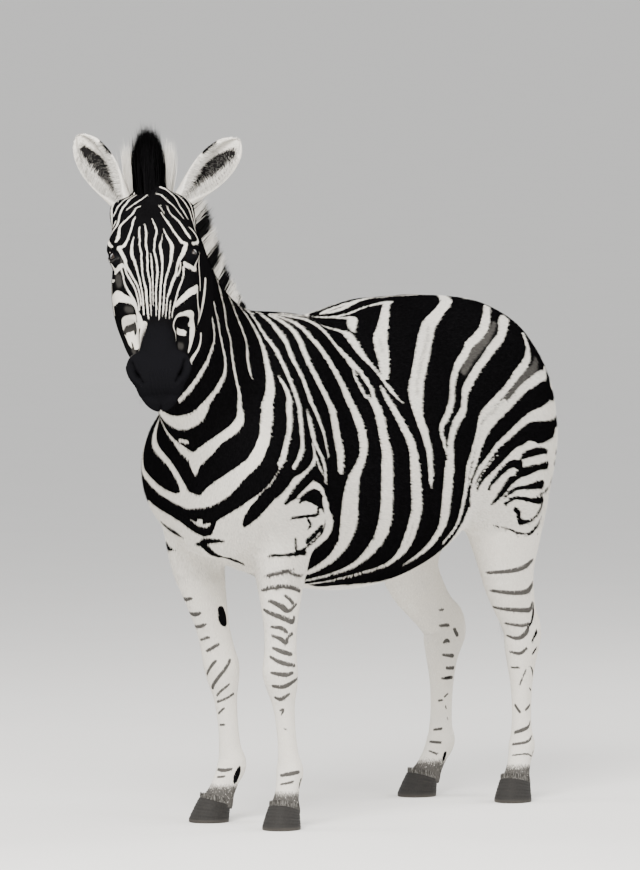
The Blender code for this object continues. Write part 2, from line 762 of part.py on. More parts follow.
def dress(obj, material):
    colour, rough = MATERIALS[material]
    made = bpy.data.materials.new(f"{obj.name}_{material}")
    made.use_nodes = True
    shader = made.node_tree.nodes["Principled BSDF"]
    shader.inputs["Base Color"].default_value = (*colour, 1)
    shader.inputs["Roughness"].default_value = rough
    shader.inputs["Metallic"].default_value = 0
    obj.data.materials.clear()
    obj.data.materials.append(made)


def legs_apart(body):
    """Parts each leg from the trunk, and cuts it at knee or hock and at the coronet."""
    made = []
    level, climb = CORONET
    for name, (side, places, turn) in LEGS.items():
        hind = name.startswith("hind")
        outline = HIND_LEG_OUTLINE if hind else FORE_LEG_OUTLINE
        outline = [(y + FRONT_Y, z) for y, z in outline]
        low, high = sorted((0, side * 0.30))
        upper = part_off(body, name + "_upper", outline, low, high)
        joint = 0.375 if hind else 0.355
        lower = split(upper, name + "_lower", (0, 0, joint), (0, 0, -1))
        frame = hoof_frame(name)
        slope = climb * frame[:3, 1] - frame[:3, 2]
        foot = split(lower, "foot", in_world([(0, 0, level + GAP)], frame)[0], slope)
        drop(foot)
        made += [upper, lower]
        horn = hoof(name + "_hoof")
        dress(horn, "hoof")
    return made


def tail():
    """The dock, and a gap below it the tuft."""
    dock = tube_object("tail_dock", from_chest(TAIL), fore=(0, -1, 0))
    tuft = split(dock, "tail_tuft", (0, 0, DOCK_END), (0, 0, -1))
    return dock, tuft


def build():
    for old in list(bpy.data.objects):
        bpy.data.objects.remove(old)
    trunk_node = thinned(whole_body(flesh()), BODY_TRIANGLES)
    trunk_node.name = "trunk"
    flesh_grown = grown(trunk_node, 2 * GAP)

    dock, tuft = tail()
    dress(tuft, "dark_hair")
    for made in (mane(), forelock(), ear("ear_left", 1, EAR_ROWS), ear("ear_right", -1, EAR_ROWS), dock):
        boolean(made, flesh_grown, "DIFFERENCE")
        dress(made, "dark_hair" if made.name in ("mane", "forelock") else "hair")
    drop(flesh_grown)

    for name, side in (("eye_left", 1), ("eye_right", -1)):
        socket = eye("socket", side, EYE_RADIUS + GAP)
        boolean(trunk_node, socket, "DIFFERENCE")
        drop(socket)
        dress(eye(name, side), "eye")

    nodes = legs_apart(trunk_node)
    head = part_off(trunk_node, "head", HEAD_OUTLINE, -0.25, 0.25, HEAD)
    muzzle = split(head, "muzzle", in_world([(0, 0, 0.345)], HEAD)[0], HEAD[:3, 2])
    neck_node = split(trunk_node, "neck", (0, 0.030 + FRONT_Y, 1.13), (0, -0.80, 0.60))
    for node in (trunk_node, neck_node, head, *nodes):
        dress(node, "hair")
    dress(muzzle, "muzzle_skin")


build()
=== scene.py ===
import json
import math

import bmesh
import bpy
import numpy as np
from mathutils import Matrix, Vector

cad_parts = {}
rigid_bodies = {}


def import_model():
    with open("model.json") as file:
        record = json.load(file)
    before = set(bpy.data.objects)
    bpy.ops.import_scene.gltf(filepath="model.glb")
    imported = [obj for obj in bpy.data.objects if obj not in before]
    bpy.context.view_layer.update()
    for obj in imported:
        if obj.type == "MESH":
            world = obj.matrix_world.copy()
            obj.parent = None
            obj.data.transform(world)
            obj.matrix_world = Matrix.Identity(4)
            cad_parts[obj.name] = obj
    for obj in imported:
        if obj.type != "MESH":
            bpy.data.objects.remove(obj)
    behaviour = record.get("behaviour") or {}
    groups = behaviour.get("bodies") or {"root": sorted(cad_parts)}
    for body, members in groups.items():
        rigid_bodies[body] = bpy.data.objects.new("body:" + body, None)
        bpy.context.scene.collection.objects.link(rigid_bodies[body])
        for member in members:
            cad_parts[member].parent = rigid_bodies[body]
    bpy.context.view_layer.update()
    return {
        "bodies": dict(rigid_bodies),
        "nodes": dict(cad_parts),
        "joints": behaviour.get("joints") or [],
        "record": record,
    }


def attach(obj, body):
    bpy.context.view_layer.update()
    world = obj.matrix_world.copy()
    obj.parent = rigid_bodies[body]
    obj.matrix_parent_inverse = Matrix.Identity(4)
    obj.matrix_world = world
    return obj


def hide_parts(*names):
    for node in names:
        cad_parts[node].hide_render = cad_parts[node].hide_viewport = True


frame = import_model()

# ---------------------------------------------------------------- driving dimensions, in metres
FRONT_Y = -0.444  # the front of the chest
HEAD_YAW = math.radians(39)  # how far the head is turned to the animal's left
HEAD_PITCH = math.radians(18)  # how far the nose is carried in front of the poll
HEAD_ROLL = math.radians(-3)
POLL = (0.105, -0.340, 1.625)  # behind the forelock: x, distance behind the chest's front, height
EYE_RADIUS = 0.0182
EYE_PLACE = (0.0895, -0.0425, 0.145)  # in the head's frame: side, front, down the face


def along(stations, steps):
    """Rows of stations, joined by a Catmull-Rom curve with that many steps between rows."""
    rows = np.array(stations, float)
    ends = np.vstack([2 * rows[0] - rows[1], rows, 2 * rows[-1] - rows[-2]])
    t = np.linspace(0, 1, steps, endpoint=False)[:, None]
    pieces = []
    for a, b, c, d in zip(ends, ends[1:], ends[2:], ends[3:]):
        pieces.append(
            0.5 * (2 * b + (c - a) * t + (2 * a - 5 * b + 4 * c - d) * t**2 + (3 * b - a - 3 * c + d) * t**3)
        )
    return np.vstack(pieces + [rows[-1:]])


def unit(v):
    return v / np.maximum(np.linalg.norm(v, axis=-1, keepdims=True), 1e-9)


def smooth(value, low, high):
    """Nought below low and one above high, with an even slope between."""
    t = np.clip((value - low) / (high - low), 0, 1)
    return t * t * (3 - 2 * t)


def in_world(points, frame):
    return np.asarray(points, float) @ frame[:3, :3].T + frame[:3, 3]


def in_frame(p, frame):
    return (p - frame[:3, 3]) @ frame[:3, :3]


def between(rows, i, t):
    """Each row i moved towards the next by its share t."""
    return rows[i] * (1 - t) + rows[i + 1] * t


def closed_rings(rings, start, end):
    """(points, faces) of a closed skin over rings of equal count, with a point at either end."""
    count = len(rings[0])
    points = np.vstack([*rings, start, end])
    first, last = len(points) - 2, len(points) - 1
    faces = []
    for k in range(count):
        j = (k + 1) % count
        for i in range(len(rings) - 1):
            a, b = i * count, (i + 1) * count
            faces.append((a + k, b + k, b + j, a + j))
        faces.append((first, k, j))
        faces.append((last, last - 1 - count + j, last - 1 - count + k))
    return points, faces


class Tube:
    """Oval sections along a smooth spine. A station is x, y, z, half width, fore and aft depth.

    fore is the direction of the section's first depth, given for the first and last station, blend how
    far the tube melts into its neighbours, and square the power in the ovals' formula: 2 is an ellipse.
    """

    def __init__(self, stations, fore, blend, fore_end=None, square=2.1, steps=6, frame=None):
        rows = along(stations, steps)
        spine = rows[:, :3]
        share = np.linspace(0, 1, len(rows))[:, None]
        toward = np.array(fore, float) * (1 - share) + np.array(fore_end or fore, float) * share
        if frame is not None:
            spine = in_world(spine, frame)
            toward = toward @ frame[:3, :3].T
        tangent = unit(np.gradient(spine, axis=0))
        self.spine = spine
        self.fore = unit(toward - (toward * tangent).sum(1, keepdims=True) * tangent)
        self.side = np.cross(self.fore, tangent)
        self.size = np.maximum(rows[:, 3:6], 0.002)
        self.square = square
        self.blend = blend
        reach = self.size.max() + 0.12
        self.box = spine.min(0) - reach, spine.max(0) + reach

    def section(self, i, angle):
        """Points round section i: angle 0 is the side, a quarter turn is fore."""
        c, s = np.cos(angle), np.sin(angle)
        a, fore, aft = self.size[i]
        depth = np.where(s > 0, fore, aft)
        r = (np.abs(c / a) ** self.square + np.abs(s / depth) ** self.square) ** (-1 / self.square)
        return self.spine[i] + np.outer(r * c, self.side[i]) + np.outer(r * s, self.fore[i])

    def distance(self, p):
        """Roughly how far each point is outside this tube."""
        cut = p @ self.spine.T * -2 + (self.spine**2).sum(1)
        near = cut.argmin(1)
        best = np.full(len(p), np.inf)
        place = np.zeros(len(p))
        for first in (np.maximum(near - 1, 0), np.minimum(near, len(self.spine) - 2)):
            a, b = self.spine[first], self.spine[first + 1]
            t = np.clip(((p - a) * (b - a)).sum(1) / ((b - a) ** 2).sum(1), 0, 1)
            gap = ((p - a - t[:, None] * (b - a)) ** 2).sum(1)
            closer = gap < best
            best = np.where(closer, gap, best)
            place = np.where(closer, first + t, place)
        i = np.minimum(place.astype(int), len(self.spine) - 2)
        t = (place - i)[:, None]
        spine, fore, side, size = (between(v, i, t) for v in (self.spine, self.fore, self.side, self.size))
        q = p - spine
        c, s = (q * side).sum(1), (q * fore).sum(1)
        r = np.sqrt(c**2 + s**2) + 1e-9
        depth = np.where(s > 0, size[:, 1], size[:, 2])
        n = self.square
        edge = (np.abs(c / r / size[:, 0]) ** n + np.abs(s / r / depth) ** n) ** (-1 / n)
        return np.sqrt((q**2).sum(1)) - edge

    def mesh(self, around=20):
        """(points, faces) of the closed tube."""
        angle = np.linspace(0, 2 * np.pi, around, endpoint=False)
        rings = [self.section(i, angle) for i in range(len(self.spine))]
        return closed_rings(rings, self.spine[0], self.spine[-1])


class Muscle:
    """An oval of flesh: its centre, its three half sizes, and its turn about X, Y and Z in degrees."""

    def __init__(self, centre, size, turn=(0, 0, 0), blend=0.05, frame=None):
        spin = Matrix.Identity(3)
        for axis, degrees in zip("XYZ", turn):
            spin = Matrix.Rotation(math.radians(degrees), 3, axis) @ spin
        self.centre = np.array(centre, float)
        self.axes = np.array(spin).T
        if frame is not None:
            self.centre = frame[:3, :3] @ self.centre + frame[:3, 3]
            self.axes = self.axes @ frame[:3, :3].T
        self.size = np.array(size, float)
        self.blend = blend
        reach = self.size.max() + 0.12
        self.box = self.centre - reach, self.centre + reach

    def distance(self, p):
        """Roughly how far each point is outside this oval."""
        q = (p - self.centre) @ self.axes.T
        scaled = np.linalg.norm(q / self.size, axis=1) + 1e-9
        return scaled * (scaled - 1) / (np.linalg.norm(q / self.size**2, axis=1) + 1e-9)

    def mesh(self, around=16):
        """(points, faces) of the closed oval."""
        turns = np.linspace(0, 2 * np.pi, around, endpoint=False)
        c, s = np.cos(turns), np.sin(turns)
        rings = [
            np.column_stack([np.sin(a) * c, np.sin(a) * s, np.full(around, -np.cos(a))])
            for a in np.linspace(0, np.pi, around // 2 + 1)[1:-1]
        ]
        ball, faces = closed_rings(rings, (0, 0, -1), (0, 0, 1))
        points = ball * self.size @ self.axes + self.centre
        return points, [(face[0], *face[:0:-1]) for face in faces]


# ---------------------------------------------------------------- the animal's parts
# Lengthways places are given from the front of the chest, and FRONT_Y moves them to the row frame.


def from_chest(stations):
    """Stations x, lengthways place, height and sizes, in the row frame."""
    return [(x, y + FRONT_Y, z, *sizes) for x, y, z, *sizes in stations]


def head_frame():
    """Matrix of the head: its first axis is the animal's left, its second the way the face looks,
    and its third runs down the face from the poll to the lips."""
    look = Vector((math.sin(HEAD_YAW), -math.cos(HEAD_YAW), 0))
    down = look * math.sin(HEAD_PITCH) + Vector((0, 0, -math.cos(HEAD_PITCH)))
    front = look * math.cos(HEAD_PITCH) + Vector((0, 0, math.sin(HEAD_PITCH)))
    down = Matrix.Rotation(-HEAD_ROLL, 3, look) @ down
    front = Matrix.Rotation(-HEAD_ROLL, 3, look) @ front
    side = front.cross(down)
    frame = np.eye(4)
    frame[:3, :3] = np.array([side, front, down]).T
    frame[:3, 3] = POLL[0], POLL[1] + FRONT_Y, POLL[2]
    return frame


HEAD = head_frame()


def in_head(p):
    return in_frame(p, HEAD)


def on_head(p):
    """Roughly how far each point is inside the head, in metres."""
    q = in_head(p)
    return np.minimum(q[:, 1] + 0.212 + 0.05 * q[:, 2], q[:, 2] + 0.05)


def trunk():
    """The barrel, from the breast to the buttocks: width, then height above and below the spine row."""
    rows = [
        (0, 0.035, 0.920, 0.140, 0.140, 0.140),
        (0, 0.065, 0.920, 0.180, 0.205, 0.190),
        (0, 0.110, 0.920, 0.203, 0.290, 0.245),
        (0, 0.160, 0.923, 0.208, 0.345, 0.280),
        (0, 0.240, 0.930, 0.208, 0.378, 0.295),
        (0, 0.340, 0.918, 0.228, 0.381, 0.311),
        (0, 0.460, 0.908, 0.260, 0.396, 0.324),
        (0, 0.590, 0.905, 0.282, 0.416, 0.321),
        (0, 0.710, 0.914, 0.282, 0.421, 0.297),
        (0, 0.820, 0.934, 0.264, 0.407, 0.254),
        (0, 0.930, 0.958, 0.244, 0.383, 0.213),
        (0, 1.020, 0.978, 0.230, 0.350, 0.208),
        (0, 1.090, 0.994, 0.212, 0.309, 0.204),
        (0, 1.140, 1.006, 0.185, 0.254, 0.183),
        (0, 1.168, 1.013, 0.140, 0.160, 0.140),
    ]
    return Tube(from_chest(rows), fore=(0, 0, 1), blend=0.08)


def neck():
    """From inside the shoulders to the poll: width, then depth towards the crest and the throat."""
    rows = [
        (0.000, 0.270, 0.985, 0.120, 0.240, 0.200),
        (0.000, 0.150, 1.050, 0.145, 0.230, 0.235),
        (0.006, 0.035, 1.130, 0.132, 0.222, 0.212),
        (0.026, -0.075, 1.225, 0.110, 0.192, 0.172),
        (0.056, -0.165, 1.330, 0.092, 0.162, 0.138),
        (0.083, -0.235, 1.440, 0.081, 0.136, 0.115),
        (0.098, -0.280, 1.530, 0.072, 0.104, 0.090),
        (0.104, -0.305, 1.590, 0.050, 0.060, 0.055),
    ]
    crest_at_base = (0, 0.45, 0.89)
    crest_at_poll = (-0.22, 0.78, 0.58)
    return Tube(from_chest(rows), fore=crest_at_base, fore_end=crest_at_poll, blend=0.07, square=2.0)


# heights of a leg's places: at a foreleg's elbow, forearm, knee, fetlock and hoof, and at a hind leg's
# thigh, stifle, gaskin, hock, fetlock and hoof
LEG_LEVELS = {"fore": (0.90, 0.66, 0.40, 0.145, 0.030), "hind": (1.06, 0.86, 0.60, 0.440, 0.142, 0.030)}


def fore_leg(side, places, turn):
    shape = [  # height, half width, depth before and behind
        (0.900, 0.066, 0.095, 0.105),
        (0.820, 0.070, 0.102, 0.105),
        (0.740, 0.068, 0.100, 0.092),
        (0.660, 0.060, 0.086, 0.074),
        (0.580, 0.050, 0.068, 0.058),
        (0.500, 0.041, 0.050, 0.045),
        (0.440, 0.042, 0.047, 0.043),
        (0.400, 0.046, 0.049, 0.046),
        (0.360, 0.040, 0.041, 0.044),
        (0.310, 0.028, 0.029, 0.036),
        (0.240, 0.024, 0.025, 0.033),
        (0.185, 0.027, 0.028, 0.035),
        (0.145, 0.035, 0.034, 0.045),
        (0.110, 0.031, 0.032, 0.039),
        (0.078, 0.033, 0.035, 0.036),
        (0.050, 0.041, 0.044, 0.040),
        (0.030, 0.039, 0.042, 0.038),
    ]
    return leg(side, shape, places, LEG_LEVELS["fore"], turn)


def hind_leg(side, places, turn):
    shape = [  # height, half width, depth before and behind
        (1.060, 0.080, 0.130, 0.150),
        (0.960, 0.098, 0.160, 0.205),
        (0.860, 0.098, 0.165, 0.195),
        (0.770, 0.088, 0.155, 0.160),
        (0.680, 0.073, 0.130, 0.118),
        (0.600, 0.060, 0.108, 0.076),
        (0.525, 0.049, 0.084, 0.062),
        (0.475, 0.041, 0.065, 0.070),
        (0.442, 0.041, 0.058, 0.081),
        (0.405, 0.041, 0.055, 0.075),
        (0.360, 0.036, 0.046, 0.052),
        (0.300, 0.028, 0.034, 0.041),
        (0.230, 0.025, 0.029, 0.037),
        (0.180, 0.028, 0.031, 0.038),
        (0.142, 0.035, 0.036, 0.046),
        (0.108, 0.031, 0.033, 0.040),
        (0.076, 0.033, 0.036, 0.037),
        (0.050, 0.040, 0.044, 0.040),
        (0.030, 0.038, 0.042, 0.038),
    ]
    return leg(side, shape, places, LEG_LEVELS["hind"], turn)


def leg(side, shape, places, heights, turn):
    """A tube down one leg, whose spine passes through places at the given heights."""
    line = np.array(places, float)[::-1]
    levels = np.array(heights, float)[::-1]
    rows = []
    for z, *sizes in shape:
        x, y = (np.interp(z, levels, line[:, k]) for k in (0, 1))
        rows.append((side * x, y, z, *sizes))
    yaw = math.radians(turn)
    forward = (side * math.sin(yaw), -math.cos(yaw), 0)
    return Tube(from_chest(rows), fore=(0, -1, 0), fore_end=forward, blend=0.035, steps=4)


LEGS = {  # side, places down the leg (x, lengthways), degrees that the toe turns out
    "fore_left": (1, [(0.128, 0.170), (0.128, 0.150), (0.122, 0.152), (0.122, 0.188), (0.128, 0.160)], 16),
    "fore_right": (-1, [(0.160, 0.140), (0.150, 0.160), (0.126, 0.218), (0.120, 0.246), (0.128, 0.196)], 22),
    "hind_left": (
        1,
        [(0.125, 1.030), (0.140, 1.040), (0.136, 1.085), (0.128, 1.140), (0.126, 1.145), (0.140, 1.100)],
        20,
    ),
    "hind_right": (
        -1,
        [(0.125, 1.010), (0.145, 0.985), (0.140, 1.030), (0.134, 1.138), (0.130, 1.124), (0.140, 1.064)],
        12,
    ),
}


def muscles():
    """The bumps of bone and muscle that show on both sides of trunk and legs."""
    found = [
        Muscle((0, 0.045 + FRONT_Y, 0.800), (0.150, 0.095, 0.110), (0, 0, 0), 0.08),  # breast
        Muscle((0, 0.025 + FRONT_Y, 0.930), (0.165, 0.095, 0.160), (0, 0, 0), 0.08),  # below the neck
        Muscle((0, 1.100 + FRONT_Y, 1.175), (0.095, 0.125, 0.100), (0, 0, 0), 0.10),  # root of the tail
    ]
    for side in (1, -1):
        for x, y, z, size, turn, blend in (
            (0.118, 0.190, 1.080, (0.075, 0.110, 0.220), -24, 0.10),  # shoulder blade
            (0.140, 0.075, 0.910, (0.082, 0.100, 0.130), 0, 0.09),  # point of the shoulder
            (0.150, 0.215, 0.845, (0.068, 0.105, 0.110), 20, 0.07),  # triceps to the elbow
            (0.118, 0.930, 1.140, (0.115, 0.160, 0.165), 20, 0.10),  # croup
            (0.125, 1.075, 1.020, (0.110, 0.160, 0.220), 15, 0.09),  # back of the thigh
            (0.160, 0.935, 0.830, (0.070, 0.085, 0.110), 25, 0.07),  # stifle
        ):
            found.append(Muscle((side * x, y + FRONT_Y, z), size, (turn, 0, 0), blend))
    return found


def skull():
    """The head's parts, in its own frame: side, front, and down the face from the poll."""
    face = [
        (0, -0.085, -0.020, 0.050, 0.030, 0.040),
        (0, -0.082, 0.008, 0.084, 0.055, 0.070),
        (0, -0.080, 0.050, 0.101, 0.074, 0.090),
        (0, -0.082, 0.105, 0.108, 0.080, 0.090),
        (0, -0.080, 0.165, 0.094, 0.077, 0.080),
        (0, -0.078, 0.235, 0.070, 0.071, 0.070),
        (0, -0.076, 0.305, 0.055, 0.063, 0.060),
        (0, -0.074, 0.365, 0.049, 0.055, 0.050),
        (0, -0.072, 0.420, 0.057, 0.048, 0.048),
        (0, -0.074, 0.465, 0.058, 0.040, 0.042),
        (0, -0.080, 0.496, 0.043, 0.022, 0.028),
    ]
    jaw = [
        (0, -0.130, 0.030, 0.050, 0.040, 0.045),
        (0, -0.145, 0.090, 0.080, 0.060, 0.070),
        (0, -0.150, 0.170, 0.094, 0.062, 0.085),
        (0, -0.147, 0.260, 0.097, 0.060, 0.082),
        (0, -0.138, 0.335, 0.091, 0.052, 0.068),
        (0, -0.124, 0.390, 0.070, 0.040, 0.048),
        (0, -0.110, 0.432, 0.050, 0.030, 0.034),
        (0, -0.102, 0.466, 0.046, 0.026, 0.028),
        (0, -0.098, 0.492, 0.030, 0.018, 0.018),
    ]
    parts = [
        Tube(face, fore=(0, 1, 0), blend=0.025, square=2.4, steps=5, frame=HEAD),
        Tube(jaw, fore=(0, 1, 0), blend=0.02, steps=5, frame=HEAD),
        Muscle((0, -0.062, 0.455), (0.060, 0.036, 0.046), blend=0.02, frame=HEAD),  # upper lip
        Muscle((0, -0.098, 0.476), (0.047, 0.028, 0.031), blend=0.015, frame=HEAD),  # chin
    ]
    for side in (1, -1):
        for x, y, z, size, turn, blend in (
            (0.070, -0.130, 0.215, (0.042, 0.075, 0.105), 0, 0.03),  # cheek
            (0.092, -0.052, 0.128, (0.024, 0.034, 0.036), 0, 0.03),  # eye socket
            (0.072, -0.085, 0.225, (0.024, 0.026, 0.065), 0, 0.03),  # cheek bone
            (0.054, -0.050, 0.432, (0.029, 0.030, 0.040), 0, 0.018),  # nostril's wing
            (0.070, -0.095, 0.012, (0.036, 0.040, 0.042), 0, 0.03),  # ear's root
        ):
            parts.append(Muscle((side * x, y, z), size, (turn, 0, 0), blend, frame=HEAD))
    return parts


def flesh():
    """Every part of the skin's shape, in the order in which they melt together."""
    parts = [trunk(), neck(), *muscles(), *skull()]
    for name, (side, places, turn) in LEGS.items():
        make = fore_leg if name.startswith("fore") else hind_leg
        parts.append(make(side, places, turn))
    return parts


def field(parts, p):
    """How far each point lies outside the joined flesh, where neighbours melt over their blend."""
    total = np.full(len(p), 1.0)
    for part in parts:
        low, high = part.box
        near = np.flatnonzero(((p > low) & (p < high)).all(1))
        if not len(near):
            continue
        one, other = total[near], part.distance(p[near])
        melt = np.maximum(part.blend - np.abs(one - other), 0) / part.blend
        total[near] = np.minimum(one, other) - melt**2 * part.blend / 4
    return total


# ---------------------------------------------------------------- meshes


def in_scene(name, data):
    """A new object of the scene."""
    made = bpy.data.objects.new(name, data)
    bpy.context.scene.collection.objects.link(made)
    return made


def new_object(name, points, faces):
    mesh = bpy.data.meshes.new(name)
    mesh.from_pydata([tuple(p) for p in points], [], [tuple(f) for f in faces])
    return in_scene(name, mesh)


def joined(parts):
    """One mesh object that holds every part's own closed mesh."""
    points, faces, start = [], [], 0
    for part in parts:
        own, own_faces = part.mesh()
        points.append(own)
        faces += [tuple(i + start for i in face) for face in own_faces]
        start += len(own)
    return new_object("flesh", np.vstack(points), faces)


def coordinates(mesh, what="co"):
    found = np.empty(len(mesh.vertices) * 3, np.float32)
    mesh.vertices.foreach_get(what, found)
    return found.reshape(-1, 3).astype(float)


def move_to(mesh, p):
    mesh.vertices.foreach_set("co", p.astype(np.float32).ravel())
    mesh.update()


def soften(mesh):
    """Makes every face smooth."""
    mesh.polygons.foreach_set("use_smooth", np.ones(len(mesh.polygons), bool))


def onto(parts, p, n, limit, depth=0):
    """Points moved along their normals, by at most limit, to where they lie at a depth in the flesh."""
    step = 0.001
    here = field(parts, p) + depth
    slope = np.clip((field(parts, p + step * n) + depth - here) / step, 0.6, 2)
    return p - n * np.clip(here / slope, -limit, limit)[:, None]


def settle(obj, parts, rounds=4):
    """Moves a mesh's points onto the flesh's surface, and evens them out as it goes."""
    for turn in range(rounds):
        p, n = coordinates(obj.data), coordinates(obj.data, "normal")
        move_to(obj.data, onto(parts, p, n, 0.012 if turn < 2 else 0.003))
        if turn < rounds - 2:
            relax = obj.modifiers.new("relax", "SMOOTH")
            relax.factor = 0.5
            relax.iterations = 5 - turn
            applied(obj)


def applied(obj):
    """Bakes the object's modifiers into its mesh."""
    graph = bpy.context.evaluated_depsgraph_get()
    mesh = bpy.data.meshes.new_from_object(obj.evaluated_get(graph))
    obj.modifiers.clear()
    obj.data = mesh
    return obj


def remeshed(obj, voxel):
    remesh = obj.modifiers.new("voxels", "REMESH")
    remesh.mode = "VOXEL"
    remesh.voxel_size = voxel
    return applied(obj)


def whole_body(parts):
    """The body in one closed mesh: set out coarsely first, then laid again without folds."""
    body = joined(parts)
    for voxel in (1.5 * SKIN_VOXEL, SKIN_VOXEL):
        remeshed(body, voxel)
        settle(body, parts)
    return body


# ---------------------------------------------------------------- charts that the markings are drawn in

CHEST = (  # going up: height, x of the middle, lengthways centre of the round front, its radius
    (0.60, 0.000, 0.180, 0.170),
    (0.80, 0.000, 0.170, 0.190),
    (0.95, 0.000, 0.150, 0.200),
    (1.09, 0.004, -0.030, 0.150),
    (1.22, 0.026, -0.140, 0.115),
    (1.36, 0.060, -0.210, 0.100),
    (1.50, 0.090, -0.240, 0.090),
    (1.62, 0.104, -0.260, 0.085),
)
BARREL = 0.27, 0.40, 0.31, 0.925  # the trunk's half width, height above and below its axis, axis height
BARREL_ROUND = 0.36, 0.31  # metres of v to a radian round the barrel, above and below its axis
BODY_CHART = (-1.45, 0.42), (1.45, 1.54)  # the lowest and the highest u and v on the body's chart
FACE_CHART = (-0.32, -0.06), (0.32, 0.52)
FACE_ROUND, FACE_AXIS = 0.10, 0.12  # metres of u to a radian round the head, and how deep its axis lies


def body_chart(p):
    """u runs round the chest from its middle and back along the flank, minus on the right side.

    v is the height in front, and further back the way round the barrel from belly to back.
    """
    y, z = p[:, 1] - FRONT_Y, p[:, 2]
    level, middle, centre, radius = np.array(CHEST).T
    behind = smooth(y, 0.15, 0.60)
    x = p[:, 0] - np.interp(z, level, middle) * (1 - behind)
    centre = np.interp(z, level, centre) * (1 - behind) + 0.15 * behind
    radius = np.interp(z, level, radius) * (1 - behind) + 0.20 * behind
    turn = np.arctan2(np.abs(x), np.maximum(centre - y, 0))
    u = np.where(y > centre, radius * math.pi / 2 + y - centre, radius * turn)
    half, up, down, axis = BARREL
    above = z > axis
    angle = np.arctan2((z - axis) / np.where(above, up, down), np.abs(x) / half + 1e-6)
    round_barrel = axis + angle * np.where(above, *BARREL_ROUND)
    share = smooth(y, 0.25, 0.55)
    return np.column_stack([np.where(x < 0, -u, u), z * (1 - share) + round_barrel * share])


def face_chart(p):
    """u runs round the head from the middle of the face, v down the face from the poll."""
    q = in_head(p)
    return np.column_stack([FACE_ROUND * np.arctan2(q[:, 0], q[:, 1] + FACE_AXIS), q[:, 2]])


EAR_ROWS = [  # along the ear: half width, depth of the cup, how far round the rim closes
    (-0.040, 0.024, 0.024, 160),
    (-0.010, 0.028, 0.027, 155),
    (0.015, 0.033, 0.032, 138),
    (0.045, 0.040, 0.034, 115),
    (0.078, 0.046, 0.034, 100),
    (0.110, 0.048, 0.031, 95),
    (0.140, 0.045, 0.026, 92),
    (0.166, 0.037, 0.020, 90),
    (0.185, 0.024, 0.012, 90),
    (0.196, 0.010, 0.005, 90),
]


EAR_LEAN = {1: math.radians(46), -1: math.radians(30)}  # outwards, of the left and the right ear
EAR_ROOT = {1: 0.086, -1: 0.077}  # how far off the head's middle each ear starts


def ear_frame(side):
    """The ear's own frame: across, the way it opens, and along it from root to tip."""
    lean = EAR_LEAN[side]
    along_ear = np.array([side * math.sin(lean), 0.10, -math.cos(lean)])
    along_ear /= np.linalg.norm(along_ear)
    opens = np.array([side * 0.30, 1.0, 0.0])
    opens -= along_ear * (opens @ along_ear)
    opens /= np.linalg.norm(opens)
    frame = np.eye(4)
    frame[:3, :3] = np.array([np.cross(opens, along_ear), opens, along_ear]).T
    frame[:3, 3] = side * EAR_ROOT[side], -0.088, -0.016
    return HEAD @ frame


def crest(count):
    """Rows along the top of the neck from poll to withers: place, direction out and across, and size."""
    tube = neck()
    pick = np.linspace(len(tube.spine) - 4, 11, count)
    i = pick.astype(int)
    return [between(v, i, (pick - i)[:, None]) for v in (tube.spine, tube.fore, tube.side, tube.size)]


# ---------------------------------------------------------------- markings
# Every stroke is a run of (u, v, half width) on its chart, in centimetres, judged one by one.

CM = 0.01

